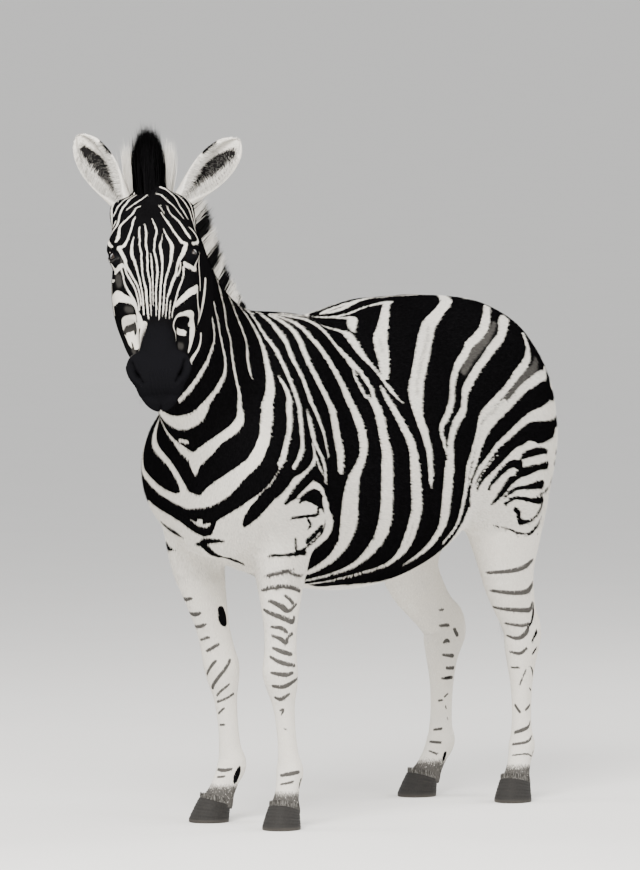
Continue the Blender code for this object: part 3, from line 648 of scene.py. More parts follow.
NECK_WHITE = [
    [(20, 148, 0.3), (17.5, 138, 0.3), (15.5, 129, 0.3), (14.6, 124.8, 0.35), (12, 121.5, 0.5),
     (8, 117.8, 0.6), (2, 114.5, 0.7), (-4, 115, 0.6), (-10, 119, 0.5), (-14, 126, 0.4), (-17, 136, 0.4)],
    [(12, 140, 0.4), (9, 132, 0.5), (4, 126, 0.7), (-2, 125, 0.7), (-8, 130, 0.5), (-12, 138, 0.4)],
    [(24, 150, 0.3), (21.5, 140, 0.25), (21, 130, 0.3), (20.5, 126, 0.35), (18.8, 123.3, 0.4),
     (16.7, 120.6, 0.55), (13, 117.2, 0.6), (8.5, 112.8, 0.6), (6, 110.5, 0.5)],
    [(25.5, 150, 0.25), (24, 141, 0.25), (23.5, 136, 0.28), (23.5, 130.3, 0.3), (23.5, 126.7, 0.33),
     (23.6, 123, 0.38), (23.4, 120.3, 0.42), (22.1, 117.2, 0.55), (19.2, 114.3, 0.75), (14.2, 110.8, 0.85),
     (9.9, 107.2, 1.4), (6.8, 105.5, 1.9), (3, 104.6, 2.3), (-1.5, 106.5, 1.6), (-6, 109, 1.0),
     (-12, 112, 0.6), (-20, 115.3, 0.5)],
    [(30, 144, 0.3), (29.5, 139, 0.3), (29.3, 134.3, 0.35), (27.8, 129.2, 0.35), (27.9, 125.6, 0.38),
     (27.2, 122.8, 0.38), (26.4, 120.1, 0.42), (25.7, 115.2, 0.55), (25.5, 112, 0.65), (24.2, 108.8, 0.75),
     (21.5, 106, 0.85), (17, 103.3, 1.1), (13.2, 101.5, 1.2), (9.9, 99.7, 1.3), (6.8, 97.3, 1.8),
     (4.4, 94.8, 1.7), (4, 92.5, 0.8), (3.9, 91.2, 0.2)],
    [(4.2, 95.5, 1.5), (2.2, 97.2, 1.3), (0, 99.6, 0.6), (-2.5, 102, 0.4), (-5, 104.5, 0.35),
     (-9, 106.8, 0.35), (-14, 107.5, 0.5), (-20, 106, 0.7)],
    [(1.6, 100, 0.5), (3.3, 99.6, 0.6)],
    [(38.5, 137, 0.2), (37, 135, 0.3), (35.8, 131.5, 0.35), (35.6, 127.3, 0.38), (35, 123.8, 0.42),
     (33, 120.3, 0.45), (32, 117.2, 0.4), (31.7, 115, 0.12)],
    [(-24.6, 119, 0.2), (-23.9, 115, 0.35), (-22, 111, 0.6), (-19, 108, 0.8), (-17, 104, 1.1),
     (-13.5, 100.8, 1.3), (-10.3, 98.3, 1.4), (-6, 96.4, 1.15), (-2.7, 94.5, 1.1), (-1.2, 92.7, 0.95),
     (0.2, 90.2, 0.9), (0.9, 88, 1.1), (1.3, 86, 1.4)],
    [(43, 134, 0.35), (42.8, 128.5, 0.5), (41.9, 124.2, 0.65), (40.3, 121, 0.7), (38.5, 118.2, 0.75),
     (36.9, 115.4, 0.85), (33.9, 111.2, 1), (29.3, 107, 1), (24.7, 103.5, 1.1), (21.3, 100.2, 1.25),
     (18.2, 97.2, 1.35), (15, 93.8, 1.7), (12, 91, 2.1), (9.8, 88.7, 2.6), (7.3, 86.4, 2.7),
     (4.8, 84.5, 2), (1.5, 84.6, 2.8), (-0.9, 84.8, 1.8), (-3.2, 85.6, 1.5), (-6.5, 86.9, 1.4),
     (-10.5, 89, 1.2), (-14.2, 91.2, 1.2), (-16.5, 94.5, 1.15), (-18.5, 97.2, 1.2), (-20, 98.9, 1.25)],
    [(38.9, 115.8, 0.15), (38.3, 113, 0.4), (37.3, 110.1, 0.55), (35, 107.6, 0.6), (31.2, 104, 0.55),
     (27.1, 100.5, 0.55), (23.8, 97, 0.65), (21, 93.7, 0.8), (18.7, 90.6, 1), (16.4, 87.4, 1.2),
     (14.1, 85.2, 1.4), (12.2, 83, 1.7), (9.5, 79.5, 2.6)],
    [(48.5, 133, 0.3), (47.4, 130.7, 0.4), (45.1, 126.7, 0.42), (43.7, 122.4, 0.4), (42.3, 119.4, 0.42),
     (40.7, 115.3, 0.45), (39.5, 111.2, 0.55), (38.2, 108, 0.55), (35, 104.4, 0.55), (32, 101, 0.55),
     (29, 97.6, 0.6), (26.2, 94.9, 0.65), (23.8, 92.3, 0.45)],
]

SIDE_WHITE = [
    [(52, 132, 0.35), (50.8, 129.6, 0.42), (48.6, 126.5, 0.5), (47, 123.3, 0.48), (45.2, 119.8, 0.46),
     (44.3, 116, 0.48), (43.5, 111.6, 0.63), (42.8, 107.6, 0.68), (42, 103.8, 0.55), (41.4, 100.5, 0.45),
     (40, 97, 0.35), (38.5, 94, 0.1)],
    [(39.8, 106.9, 0.12), (37.8, 103.3, 0.75), (35.7, 99.3, 0.8), (35.6, 96.4, 0.75), (36, 93, 0.6),
     (35.6, 90, 0.4), (35.3, 88.3, 0.2)],
    [(54, 131, 0.3), (52.3, 128, 0.4), (50.9, 124.5, 0.58), (49.7, 121.5, 0.68), (48.7, 118.2, 0.75),
     (48.5, 113.8, 0.85), (48.9, 110, 0.95), (48.9, 107.2, 1.15), (47.3, 102.7, 1.35), (45.9, 98.8, 1.45),
     (44.2, 94.5, 1.4), (42.9, 91, 1.1)],
    [(54.5, 131, 0.3), (54.2, 128.3, 0.42), (54, 125, 0.6), (54.5, 121.8, 0.75), (55, 117.8, 0.82),
     (55.5, 114.2, 0.9), (55.8, 110.4, 1), (55.5, 107, 1), (54.9, 103, 1.1), (53.9, 99, 1.2),
     (51.9, 94.5, 1.15), (49.6, 91, 1.5), (47.6, 88.2, 2.4), (46.3, 85.3, 3.3), (45.5, 81.5, 4.1),
     (45.9, 77.5, 4), (46.6, 73.5, 2.9), (46, 70.3, 2.4), (44.4, 67.2, 1.85), (41, 64.6, 1.3),
     (35, 62.2, 0.9)],
    [(55.5, 130.5, 0.3), (57.2, 129, 0.4), (58.5, 126.5, 0.62), (59.4, 124, 0.75), (60.5, 121.2, 0.82),
     (61, 118.3, 0.88), (61.3, 115, 0.9), (61.4, 112, 0.88), (61, 108, 0.95), (60.7, 104.5, 1.1),
     (59.6, 98.8, 1.3), (59.2, 94, 1.75), (58.8, 90, 2.05), (58.6, 85.1, 2.15), (58.8, 81, 2.3),
     (59, 77, 2.6), (58.9, 73, 2.6), (57.8, 69.7, 2.3), (56.2, 66.7, 1.8), (54.3, 64.4, 1.2),
     (51, 62.5, 0.65), (45, 60.9, 0.42), (38, 60, 0.35)],
    [(60.6, 118, 0.25), (60, 115.5, 0.28), (59.8, 112.5, 0.28), (60, 109.5, 0.35)],
    [(57, 130.5, 0.2), (60.1, 130, 0.3), (63.5, 130.8, 0.5), (64.4, 129.5, 0.75), (64.1, 125.7, 0.72),
     (63.9, 121.6, 0.58), (64.3, 118, 0.3), (65, 113.8, 0.35), (65.7, 110.5, 0.45), (66.7, 108.2, 0.3),
     (67.3, 106.9, 0.1)],
    [(66, 138.6, 0.5), (68.2, 137.6, 0.9), (67, 134.5, 0.9), (66, 131.5, 0.5), (65.8, 130, 0.1)],
    [(63.9, 112.3, 0.12), (64.1, 109, 0.6), (64.9, 104.7, 0.9), (65.8, 101.2, 1.1), (67, 97.7, 1.25),
     (67.8, 94, 1.45), (68.1, 89.8, 1.85), (68.7, 85, 2), (69.7, 80.3, 2.1), (69.9, 75.8, 2.3),
     (70.1, 72, 2.35), (70.2, 69, 2.05), (69.3, 66.3, 1.4), (67.4, 64, 0.85), (64, 62.2, 0.5),
     (57, 60, 0.42), (49, 58, 0.4), (40, 57.3, 0.35)],
    [(64, 138, 0.4), (68, 140.5, 0.5), (72, 141.6, 0.5), (78.5, 141, 0.6), (84, 140.8, 0.8)],
    [(62, 141, 0.8), (68, 145.5, 1.3), (75, 148, 1.6), (85, 149.5, 1.8), (95, 149.5, 1.5), (105, 149, 1)],
    [(34, 84, 1.2), (35.2, 80.8, 1.3), (37, 77.8, 1.8), (37, 74.7, 1.9), (34, 72.4, 1.6), (29.5, 70.9, 1.5)],
    [(34.2, 98.8, 0.12), (34, 97.8, 0.3), (32.8, 95.6, 0.6), (30.4, 93, 0.7), (27.3, 91, 0.85),
     (24.4, 89.5, 1.1), (22.2, 87.7, 1.35), (20.1, 85.5, 1.5), (17.8, 83.2, 1.9), (16, 80.5, 2.4)],
    [(33, 94.8, 0.3), (33.6, 92.3, 0.4), (34.3, 89.9, 0.45), (34.8, 88.6, 0.2)],
    [(24.6, 85.4, 0.5), (27.2, 87.4, 0.9), (29.8, 88.1, 1), (32.5, 87.1, 0.8), (33.8, 85.2, 0.5)],
]

RUMP_WHITE = [
    [(84, 140.8, 0.7), (80.5, 139, 1.1), (76.2, 134.8, 1.5), (72, 130, 1.75), (69.4, 126.2, 1.95),
     (67.6, 120.8, 1.6), (66.5, 117, 1.25), (65.6, 114.3, 0.8)],
    [(107, 143.5, 1.5), (105, 140.5, 1.7), (101, 135, 2), (94.6, 131.3, 2), (88.6, 128, 2.4),
     (84.6, 124.5, 2.7), (80, 120.1, 2.8), (76.5, 115.9, 2.7), (73.5, 112, 2.4), (71.9, 109, 2.6),
     (71.2, 106, 2.1), (71.1, 102.8, 1.55), (71.8, 99.8, 1.45), (72.8, 96, 1.25), (73.3, 93, 1.05),
     (73.6, 89.6, 0.95), (73.8, 86.8, 0.7), (73.8, 85.4, 0.15)],
    [(113, 130, 1), (110.2, 127.3, 1.3), (105, 122.3, 1.5), (101.3, 120.4, 1.35), (97.6, 119, 1.35),
     (95, 117, 1.25), (91.8, 115, 1.25), (88.6, 112.3, 1.15), (85.9, 109.2, 1.2), (84.6, 106.5, 1.25),
     (83, 104.2, 1.2), (81, 102.2, 1), (78.8, 100.3, 1), (78.1, 98.5, 0.75), (78.7, 96.2, 0.6),
     (79.6, 94, 0.6)],
    [(117, 125.5, 1.6), (113.4, 122.9, 1.9), (109.8, 119.4, 1.45), (105.1, 117, 1.3), (101.2, 114.8, 1.25),
     (97.9, 112.9, 1.25), (94.2, 110.2, 1.4), (91.3, 107.8, 1.45), (90, 105.3, 1.5), (88.2, 102.9, 1.45),
     (85, 100.9, 1.35), (82.7, 98.5, 1.35), (81.4, 95.8, 1.35), (81.2, 93.2, 1.55), (80.6, 90, 2.15),
     (80.5, 86.7, 2.25), (80.6, 83.2, 2.2), (81.2, 79.8, 2.15), (82.1, 75.8, 2.1), (81.6, 72, 1.95),
     (80.2, 68.8, 1.6), (77.5, 65.7, 0.9), (75, 63.5, 0.3)],
    [(122, 121, 0.9), (121, 117.5, 1), (119.2, 114.5, 1.3), (115.9, 112.2, 1.3), (112.5, 110.4, 1.2),
     (109, 108.2, 1.1), (105.4, 106.3, 1.1), (101.5, 104.3, 1.1), (98, 102.5, 1.1), (96.3, 100.6, 1),
     (95, 98, 0.95), (92.9, 95.3, 1), (90.5, 92.3, 1.05), (89, 89.7, 1.05), (88.8, 86.7, 1),
     (88.8, 83.6, 1), (89, 79.9, 0.9), (89.5, 76.5, 0.8), (89.5, 72.8, 0.8), (88, 69.5, 1)],
    [(132, 115, 1), (128.5, 112, 1.4), (125, 110.8, 1.6), (119.7, 109, 1.4), (114.6, 107.2, 1.35),
     (110.5, 104.9, 1.25), (107.1, 103, 1.15), (103.5, 101, 1.1), (99.7, 98.7, 1.15), (96.9, 96.4, 1.15),
     (94.3, 93.3, 1.15), (92.4, 90.4, 1), (90.8, 88, 0.75), (90.2, 85.3, 0.3)],
    [(107.5, 104.6, 1.2), (101.3, 101.8, 1.6), (98, 99, 1.6), (95.6, 96.2, 1.3), (93, 92.6, 1),
     (91, 88.8, 0.8)],
    [(134, 104, 3.2), (129.3, 102.8, 2.9), (124, 101.6, 2.1), (118.5, 101, 1.45), (114, 99.3, 1.15),
     (110.5, 97.2, 1.1), (105.9, 95, 0.95), (102, 93, 0.95), (98.5, 90.6, 1.1), (94.8, 88.6, 1.15),
     (92.7, 86, 1.05), (92.5, 83.4, 1), (93, 81, 0.9)],
    [(122, 138, 1.3), (116, 136.5, 1.2), (110, 136, 1.2)],
]

PALE_WHITE = [  # the breast and the top of the thigh, down to the pale legs
    [(-12, 76, 8), (-4, 73, 8.5), (4, 70, 8), (10, 75.5, 8.5), (16, 78, 8), (22, 78, 7.5), (27, 78, 6),
     (31, 78, 4)],
    [(130, 90, 10), (120, 88, 10), (110, 86, 8.5), (102, 84, 6.5), (97, 82, 4.5)],
]

BLACK = [
    [(-20, 94.8, 1.9), (-18, 91.5, 1.7), (-15.8, 88.2, 1.4), (-11.5, 84.7, 1.15), (-7.3, 83, 1.2),
     (-4, 81.7, 1.15), (-1.3, 80.1, 1.1), (0.5, 78.7, 1.2), (1.9, 77.3, 1.05), (3.4, 76.9, 1.15),
     (4.8, 78.5, 1), (5.6, 80.4, 1.1), (8, 82.1, 1.05), (10.6, 84, 1.1), (12.7, 86, 1.2), (15, 88.2, 1.3),
     (17, 90.5, 1.35), (19, 93.2, 1.3)],
    [(1.5, 81, 0.9), (3.8, 81.3, 1.1), (5.6, 80.8, 1)],
    [(22.6, 91.6, 1.3), (20.1, 88.3, 1.2), (17.8, 86, 1.1), (16, 83.7, 1.05), (14.3, 81.4, 0.95),
     (12.9, 79.4, 0.65), (12.1, 78, 0.15)],
    [(34, 89.5, 0.6), (31.5, 91.5, 1), (28, 89.6, 0.95), (25.2, 87.7, 0.9), (22.9, 85.4, 0.65),
     (21.3, 84, 0.35)],
    [(25.1, 83.9, 0.25), (26.4, 84.9, 0.55), (28.3, 85.6, 0.75), (30.2, 85.4, 0.9), (31.5, 84.7, 0.75),
     (32, 83.4, 0.35)],
    [(31, 82.8, 0.2), (31.2, 80.8, 0.4), (30, 80.3, 0.35), (27, 80.2, 0.3), (23, 79.9, 0.3)],
    [(27.8, 79.4, 0.25), (28.8, 77.8, 0.35), (28.2, 76.6, 0.2)],
    [(24.4, 74.3, 0.3), (24.5, 72, 0.3), (24.2, 70.4, 0.3)],
    [(-11, 78, 0.3), (-8.5, 76.6, 0.5), (-6, 75.8, 0.55), (-3.8, 74.6, 0.15)],
    [(-1, 72.8, 0.2), (1, 73.3, 0.4), (2.6, 74, 0.6), (5, 74.2, 0.4), (7, 74.2, 0.2)],
    [(1.6, 72.7, 0.9), (2.1, 71, 0.9), (3, 69.6, 0.8), (4.5, 68.6, 0.6), (7.5, 67.5, 0.4)],
    [(33.5, 76.8, 0.7), (31, 75, 0.7), (28.5, 73.6, 0.6)],
    [(39.5, 81, 1.3), (41.2, 75.8, 0.9), (42, 73.5, 1.1), (41.5, 70.5, 1.1), (38, 68.2, 0.9),
     (32, 66.5, 0.8)],
    [(60.9, 118.2, 0.1), (60.8, 115.5, 0.3), (60.9, 112.5, 0.38), (61, 110.6, 0.3), (61, 109.5, 0.1)],
    [(132, 98, 1.7), (128.5, 97.5, 1.7), (123.5, 97, 2), (118.6, 97.4, 1.6), (115.5, 96, 1.3),
     (112.5, 94.7, 1), (108.8, 92.8, 1.15), (104.1, 90.2, 1.1), (100.1, 88, 1), (97, 86, 0.85),
     (95.3, 83.8, 0.5)],
    [(127, 91.9, 0.6), (124, 92.3, 0.8), (120, 92, 0.9), (117, 91.4, 0.8), (115.6, 90.9, 0.4)],
    [(128, 87.6, 1), (123.5, 87.5, 0.8), (119.3, 86.8, 1), (115.5, 86.5, 1.1), (113.5, 85, 0.7),
     (110.8, 84, 1), (108.9, 82, 0.9), (107, 79.8, 0.75), (105.5, 78, 0.4)],
    [(115, 88.7, 1), (112, 89.2, 0.8), (108.3, 88, 0.8), (105, 86, 0.75), (102.8, 84.2, 0.6),
     (102.2, 82.5, 0.35)],
    [(126.5, 82, 1), (122.5, 82.2, 0.8), (118.5, 82, 0.45), (115, 82, 0.45), (111.6, 81, 0.5),
     (109.8, 79.8, 0.3)],
    [(127, 77.5, 0.9), (122.5, 78, 0.5), (117.5, 79, 0.4), (113.4, 79.3, 0.4), (110.8, 77.8, 0.5)],
    [(115, 76.4, 0.45), (117.2, 74.8, 0.6), (118, 73, 0.6), (120.5, 72.6, 0.45), (124, 73, 0.3),
     (127.5, 75, 0.5), (128.5, 77, 0.3)],
    [(128.8, 72.5, 0.3), (126.5, 70.8, 0.45), (123, 69.6, 0.35), (119, 70, 0.25), (114.5, 70.8, 0.2),
     (110, 70.9, 0.2)],
    [(118.5, 69, 0.25), (119.5, 66.5, 0.2)],
    [(128, 68.5, 0.3), (127, 66.6, 0.45), (124, 65.2, 0.4), (120.5, 64.5, 0.35), (117, 64.5, 0.15)],
]

SPOTS_WHITE = [[(1, 79.4, 0.15), (2.2, 78.6, 0.3), (3.6, 78.1, 0.4), (5, 78.6, 0.2)]]

GREY = [  # the soft shadow stripes
    [(69, 126, 0.4), (67.8, 121.5, 0.4)],
    [(87.5, 127.3, 0.3), (83.5, 122.8, 0.6), (79.3, 118.7, 0.7), (76.2, 115.5, 0.55), (73.2, 111.5, 0.5),
     (71.9, 108, 0.4)],
    [(124, 114.5, 0.8), (122, 112.5, 1), (118.5, 110.9, 1), (114, 109, 0.9), (109.5, 106.4, 0.7),
     (106.1, 105, 0.7), (103.2, 103.2, 0.7), (99.8, 101.8, 0.6), (96.9, 99.7, 0.4), (94.9, 97, 0.3),
     (92.8, 93.6, 0.3), (91.5, 91.3, 0.25), (89.9, 89, 0.25), (89.3, 86.5, 0.2)],
    [(69.8, 76, 0.3), (70, 73, 0.4), (70, 71, 0.3)],
    [(109.5, 122.8, 0.6), (104.4, 119.5, 0.9), (100.4, 117.8, 1.1), (96.7, 115.8, 1.1), (92.7, 113, 1)],
]

FACE_WHITE = [  # u is above nought on the animal's left
    [(-3.2, 32.6, 1.2), (-4.4, 35.2, 1.5), (-5.6, 38.5, 1.5), (-6.6, 41, 1.2)],
    [(-3.5, 5, 0.15), (-4, 6.2, 0.25), (-4.2, 7.4, 0.25), (-4.5, 8.5, 0.25), (-4.9, 9.7, 0.25),
     (-5.2, 10.6, 0.25), (-5.55, 11.4, 0.28), (-5.9, 12.2, 0.35), (-6.3, 12.5, 0.4), (-6.75, 12.7, 0.4),
     (-6.7, 13.4, 0.38), (-6.5, 14.3, 0.42), (-6.4, 15.1, 0.48), (-6.25, 15.9, 0.45), (-6.3, 16.8, 0.45),
     (-6.15, 17.7, 0.4), (-5.8, 18.6, 0.4), (-5.4, 19.5, 0.4), (-5.05, 20.3, 0.36), (-4.7, 21.1, 0.3),
     (-4.25, 22, 0.28), (-4, 22.9, 0.26), (-3.8, 23.7, 0.25), (-3.65, 24.8, 0.25), (-3.55, 26, 0.26),
     (-3.6, 27.5, 0.3)],
    [(-7, 16.9, 0.3), (-6.8, 17.8, 0.3), (-6.8, 18.6, 0.32), (-6.5, 19.6, 0.34), (-6.15, 20.4, 0.36),
     (-5.8, 21.2, 0.36), (-5.4, 22, 0.34), (-5.05, 22.9, 0.32), (-4.75, 23.9, 0.32), (-4.45, 25.4, 0.32),
     (-4.35, 27, 0.34), (-4.4, 28.5, 0.4)],
    [(-7.95, 17.6, 0.3), (-7.95, 18.4, 0.25), (-7.85, 19.3, 0.22), (-7.85, 20.3, 0.24), (-7.75, 21.2, 0.26),
     (-7.5, 22.2, 0.3), (-7.15, 23.1, 0.35), (-6.75, 24, 0.4), (-6.1, 25.3, 0.45), (-5.5, 26.6, 0.45),
     (-5.25, 28.1, 0.45), (-5.3, 29.7, 0.5)],
    [(-3.95, 10.4, 0.1), (-4.15, 11.2, 0.18), (-4.35, 12.1, 0.28), (-4.5, 13, 0.36), (-4.55, 13.9, 0.4),
     (-4.55, 14.9, 0.42), (-4.35, 15.8, 0.38), (-4.1, 16.5, 0.34), (-3.95, 17.5, 0.3), (-3.75, 18.4, 0.27),
     (-3.65, 19.3, 0.26), (-3.5, 20.4, 0.26), (-3.3, 21.3, 0.24), (-3.2, 22.5, 0.23), (-3.05, 23.5, 0.22),
     (-2.95, 24.6, 0.22), (-2.9, 26, 0.24), (-2.95, 28, 0.26), (-3, 30, 0.3)],
    [(-2.5, 7.6, 0.1), (-2.7, 8.6, 0.2), (-2.75, 9.9, 0.22), (-2.65, 11, 0.2), (-2.75, 12, 0.2),
     (-2.75, 13, 0.2), (-2.6, 13.9, 0.22), (-2.5, 14.9, 0.24), (-2.6, 16, 0.22), (-2.55, 17, 0.24),
     (-2.55, 18.3, 0.24), (-2.55, 19.6, 0.22), (-2.45, 20.9, 0.22), (-2.3, 22, 0.24), (-2.15, 23, 0.27),
     (-2, 24, 0.32), (-2, 26, 0.32), (-1.95, 28, 0.3), (-1.9, 30, 0.26), (-1.8, 31.6, 0.12)],
    [(-1.5, 7.2, 0.1), (-1.3, 8.5, 0.2), (-1.2, 9.5, 0.26), (-1.3, 10.6, 0.24), (-1.42, 12.6, 0.28),
     (-1.26, 14.1, 0.22), (-1.22, 14.9, 0.22), (-1.3, 15.8, 0.25), (-1.25, 17, 0.24), (-1.36, 18.1, 0.22),
     (-1.36, 19.2, 0.22), (-1.2, 20.4, 0.2), (-1.06, 21.5, 0.2), (-0.96, 22.9, 0.18), (-1, 24.5, 0.17),
     (-1.05, 26, 0.16), (-1.1, 28, 0.15), (-1.1, 29.7, 0.12), (-1.1, 30.8, 0.06)],
    [(-0.6, 14.7, 0.06), (-0.45, 15.8, 0.13), (-0.4, 16.8, 0.18), (-0.38, 18, 0.2), (-0.35, 19.5, 0.18),
     (-0.35, 21.1, 0.16), (-0.38, 22.6, 0.15), (-0.42, 24.5, 0.13), (-0.48, 26.4, 0.12), (-0.5, 28, 0.07)],
    [(0.2, 6.2, 0.08), (0.45, 7.2, 0.14), (0.75, 8.2, 0.2), (0.95, 9.2, 0.22), (0.85, 10.2, 0.22),
     (0.6, 11.1, 0.22), (0.45, 12.1, 0.22), (0.35, 13.2, 0.2), (0.27, 14.6, 0.22), (0.5, 15.6, 0.24),
     (0.65, 16.7, 0.24), (0.75, 18.3, 0.26), (0.8, 19.8, 0.26), (0.65, 21, 0.26), (0.52, 22.1, 0.22),
     (0.32, 23.8, 0.2), (0.2, 25.5, 0.2), (0.2, 27.6, 0.2), (0.12, 29.2, 0.16), (0, 30.8, 0.08)],
    [(2.1, 10.2, 0.05), (1.9, 11.6, 0.1), (1.6, 12.8, 0.24), (1.6, 13.7, 0.3), (1.75, 14.6, 0.36),
     (1.85, 15.6, 0.36), (1.9, 17, 0.28), (1.87, 18.5, 0.25), (1.78, 19.8, 0.26), (1.65, 21.2, 0.26),
     (1.45, 22.7, 0.25), (1.3, 24, 0.25), (1.15, 25.7, 0.24), (1.05, 27.7, 0.23), (0.9, 29.2, 0.22),
     (0.75, 30.7, 0.18), (0.7, 31.8, 0.08)],
    [(2.3, 8.8, 0.06), (2.6, 9.8, 0.15), (3, 10.8, 0.24), (3.45, 11.7, 0.34), (3.85, 12.5, 0.42),
     (4.05, 13.3, 0.48), (4.05, 14.1, 0.48), (3.95, 15, 0.43), (3.85, 16.5, 0.36), (3.65, 17.6, 0.32),
     (3.35, 18.8, 0.27), (3, 19.9, 0.23), (2.7, 21, 0.22), (2.45, 22.2, 0.22), (2.25, 23.4, 0.21),
     (2.13, 25, 0.2), (2, 26.7, 0.2), (1.85, 28.2, 0.21), (1.7, 29.7, 0.18), (1.5, 31, 0.08)],
    [(1.9, 4.8, 0.08), (2.5, 5.9, 0.15), (3, 6.8, 0.2), (3.5, 7.7, 0.22), (4.1, 8.9, 0.24),
     (4.7, 9.9, 0.24), (5.15, 10.6, 0.25), (5.6, 11.4, 0.3), (5.95, 12.1, 0.36), (6.45, 12.4, 0.34),
     (6.7, 12.7, 0.34), (6.55, 13.4, 0.44), (6.5, 14.2, 0.46), (6.35, 15, 0.5), (6.05, 15.8, 0.5),
     (5.7, 16.6, 0.46), (5.45, 17.6, 0.42), (5.25, 18.8, 0.38), (5.15, 19.8, 0.4), (4.85, 20.7, 0.46),
     (4.5, 21.5, 0.5), (4.1, 22.5, 0.44), (3.8, 23.4, 0.4), (3.5, 24.4, 0.38), (3.15, 25.3, 0.3),
     (2.88, 26.2, 0.22), (2.72, 27.3, 0.18), (2.58, 28.8, 0.17), (2.42, 30.3, 0.14), (2.35, 31.4, 0.06)],
    [(5.9, 16.7, 0.15), (6.2, 17.4, 0.2), (6.3, 18.3, 0.22), (6.15, 19.1, 0.26), (5.9, 19.8, 0.3),
     (5.5, 20.3, 0.35)],
    [(3.85, 26.6, 0.06), (3.65, 27.6, 0.19), (3.5, 28.6, 0.2), (3.4, 29.6, 0.2), (3.38, 30.6, 0.16),
     (3.35, 31.5, 0.06)],
    [(7.15, 18, 0.35), (7.25, 19, 0.3), (7.35, 19.8, 0.28), (7.15, 20.9, 0.26), (6.9, 21.9, 0.27),
     (6.5, 22.8, 0.3), (6.15, 23.8, 0.28), (5.8, 25, 0.28), (5.4, 26.4, 0.32), (5, 27.6, 0.35)],
    # brow and forehead, right
    [(-0.7, -0.3, 0.22), (-1.4, 0.1, 0.24), (-2.3, 0.5, 0.24), (-3.1, 0.7, 0.24), (-3.8, 1.1, 0.23),
     (-4.6, 1.6, 0.2), (-5.9, 2.8, 0.1)],
    [(-4, -3.6, 0.3), (-4.6, -2.8, 0.25), (-5.2, -2, 0.25), (-5.7, -1.2, 0.28), (-6.2, -0.1, 0.33),
     (-6.5, 0.9, 0.34), (-7, 1.8, 0.34), (-7.3, 2.8, 0.34), (-7.5, 4, 0.34), (-7.6, 5.3, 0.38),
     (-7.9, 6.2, 0.38), (-8.5, 6.8, 0.3), (-9.3, 7.4, 0.32), (-10.2, 8.4, 0.4)],
    [(-6.2, -3.6, 0.25), (-6.8, -2.3, 0.25), (-7.2, -1.3, 0.22), (-7.7, -0.5, 0.22), (-8.2, 0.4, 0.22),
     (-8.8, 1.4, 0.24), (-9.1, 2.3, 0.25), (-9.9, 3.2, 0.3)],
    [(-2.2, 2.4, 0.1), (-3.4, 2.7, 0.2), (-3.8, 3.5, 0.26), (-4.2, 4.1, 0.3), (-4.9, 4.9, 0.24),
     (-5.6, 5.6, 0.24), (-6.3, 6.2, 0.28), (-7, 6.9, 0.34), (-7.2, 7.8, 0.38), (-7.15, 9, 0.42),
     (-7.1, 10, 0.4), (-7.2, 11, 0.3)],
    [(-11, -0.9, 0.6), (-11.2, 1.2, 0.7), (-11, 3, 0.8), (-11.3, 4.8, 0.7), (-11.7, 6.5, 0.5),
     (-11.6, 8.3, 0.5), (-10.4, 9.6, 0.6), (-9.4, 10.6, 0.5), (-8.9, 11.5, 0.5), (-8.4, 11.9, 0.3)],
    [(-8.6, 5, 0.25), (-9.2, 5.8, 0.3), (-9.9, 6.2, 0.3)],
    # brow and forehead, left
    [(1.1, -0.1, 0.08), (2, 0.1, 0.14), (2.6, 0.9, 0.15), (3.2, 1.7, 0.15), (4, 2.4, 0.15),
     (4.8, 3, 0.14), (5.6, 3.9, 0.14), (6.3, 4.9, 0.12), (7, 5.9, 0.08)],
    [(2.4, -2.4, 0.3), (3.7, -1.9, 0.32), (4.5, -0.9, 0.28), (5.5, 0.1, 0.26), (6.1, 1.4, 0.24),
     (6.6, 2.5, 0.22), (7.2, 3.5, 0.2), (7.7, 4.6, 0.16), (8.2, 5.6, 0.1)],
    [(6.8, -3, 0.25), (7.5, -2.2, 0.25), (7.9, -0.7, 0.22), (8.6, 0.6, 0.2), (9.1, 1.9, 0.2),
     (9.7, 3.2, 0.22), (10, 4.6, 0.24), (10.7, 6.2, 0.3), (11, 8, 0.35)],
    [(9.5, -1.5, 0.2), (10.3, 0, 0.2), (10.9, 1.5, 0.22), (11.3, 3, 0.3), (11.8, 4.5, 0.4), (12, 6, 0.4)],
    [(3, 3, 0.08), (3.5, 4.3, 0.13), (4.1, 5.2, 0.16), (5.1, 6.2, 0.2), (5.8, 7, 0.24), (6.4, 8, 0.3),
     (6.9, 9, 0.32), (7.2, 10, 0.3), (7.4, 11.2, 0.22)],
    [(1.5, 3, 0.06), (2, 4, 0.08), (2.6, 5, 0.06)],
    [(8.1, 7.8, 0.12), (8.8, 8.5, 0.22), (9.3, 9.5, 0.26), (9.6, 10.6, 0.3), (9.6, 11.6, 0.45),
     (8.9, 12.1, 0.5), (8.2, 12.2, 0.45)],
    # below and behind the eyes
    [(-9.6, 12.9, 0.12), (-9.3, 13.8, 0.22), (-9.3, 14.6, 0.28), (-9.5, 15.3, 0.35), (-9.9, 16, 0.4),
     (-10.2, 17, 0.6), (-9.7, 17.4, 0.6), (-8.8, 17.4, 0.55), (-8, 17.1, 0.65), (-7.2, 16.8, 0.55)],
    [(-10.6, 18, 0.35), (-9.4, 17.9, 0.25)],
    [(-13.6, 18.9, 0.6), (-12.3, 19.4, 0.5), (-11.3, 19.5, 0.3)],
    [(7.1, 17, 0.4), (7.6, 17.4, 0.65), (8.5, 17.6, 0.65), (9.4, 17.7, 0.55), (10.3, 17.9, 0.75),
     (11.4, 17.6, 0.75)],
    [(10.9, 17.4, 0.8), (10.8, 16.5, 0.6), (10.9, 15.5, 0.4), (11.1, 14.5, 0.25), (11.2, 13.5, 0.12)],
    # cheeks
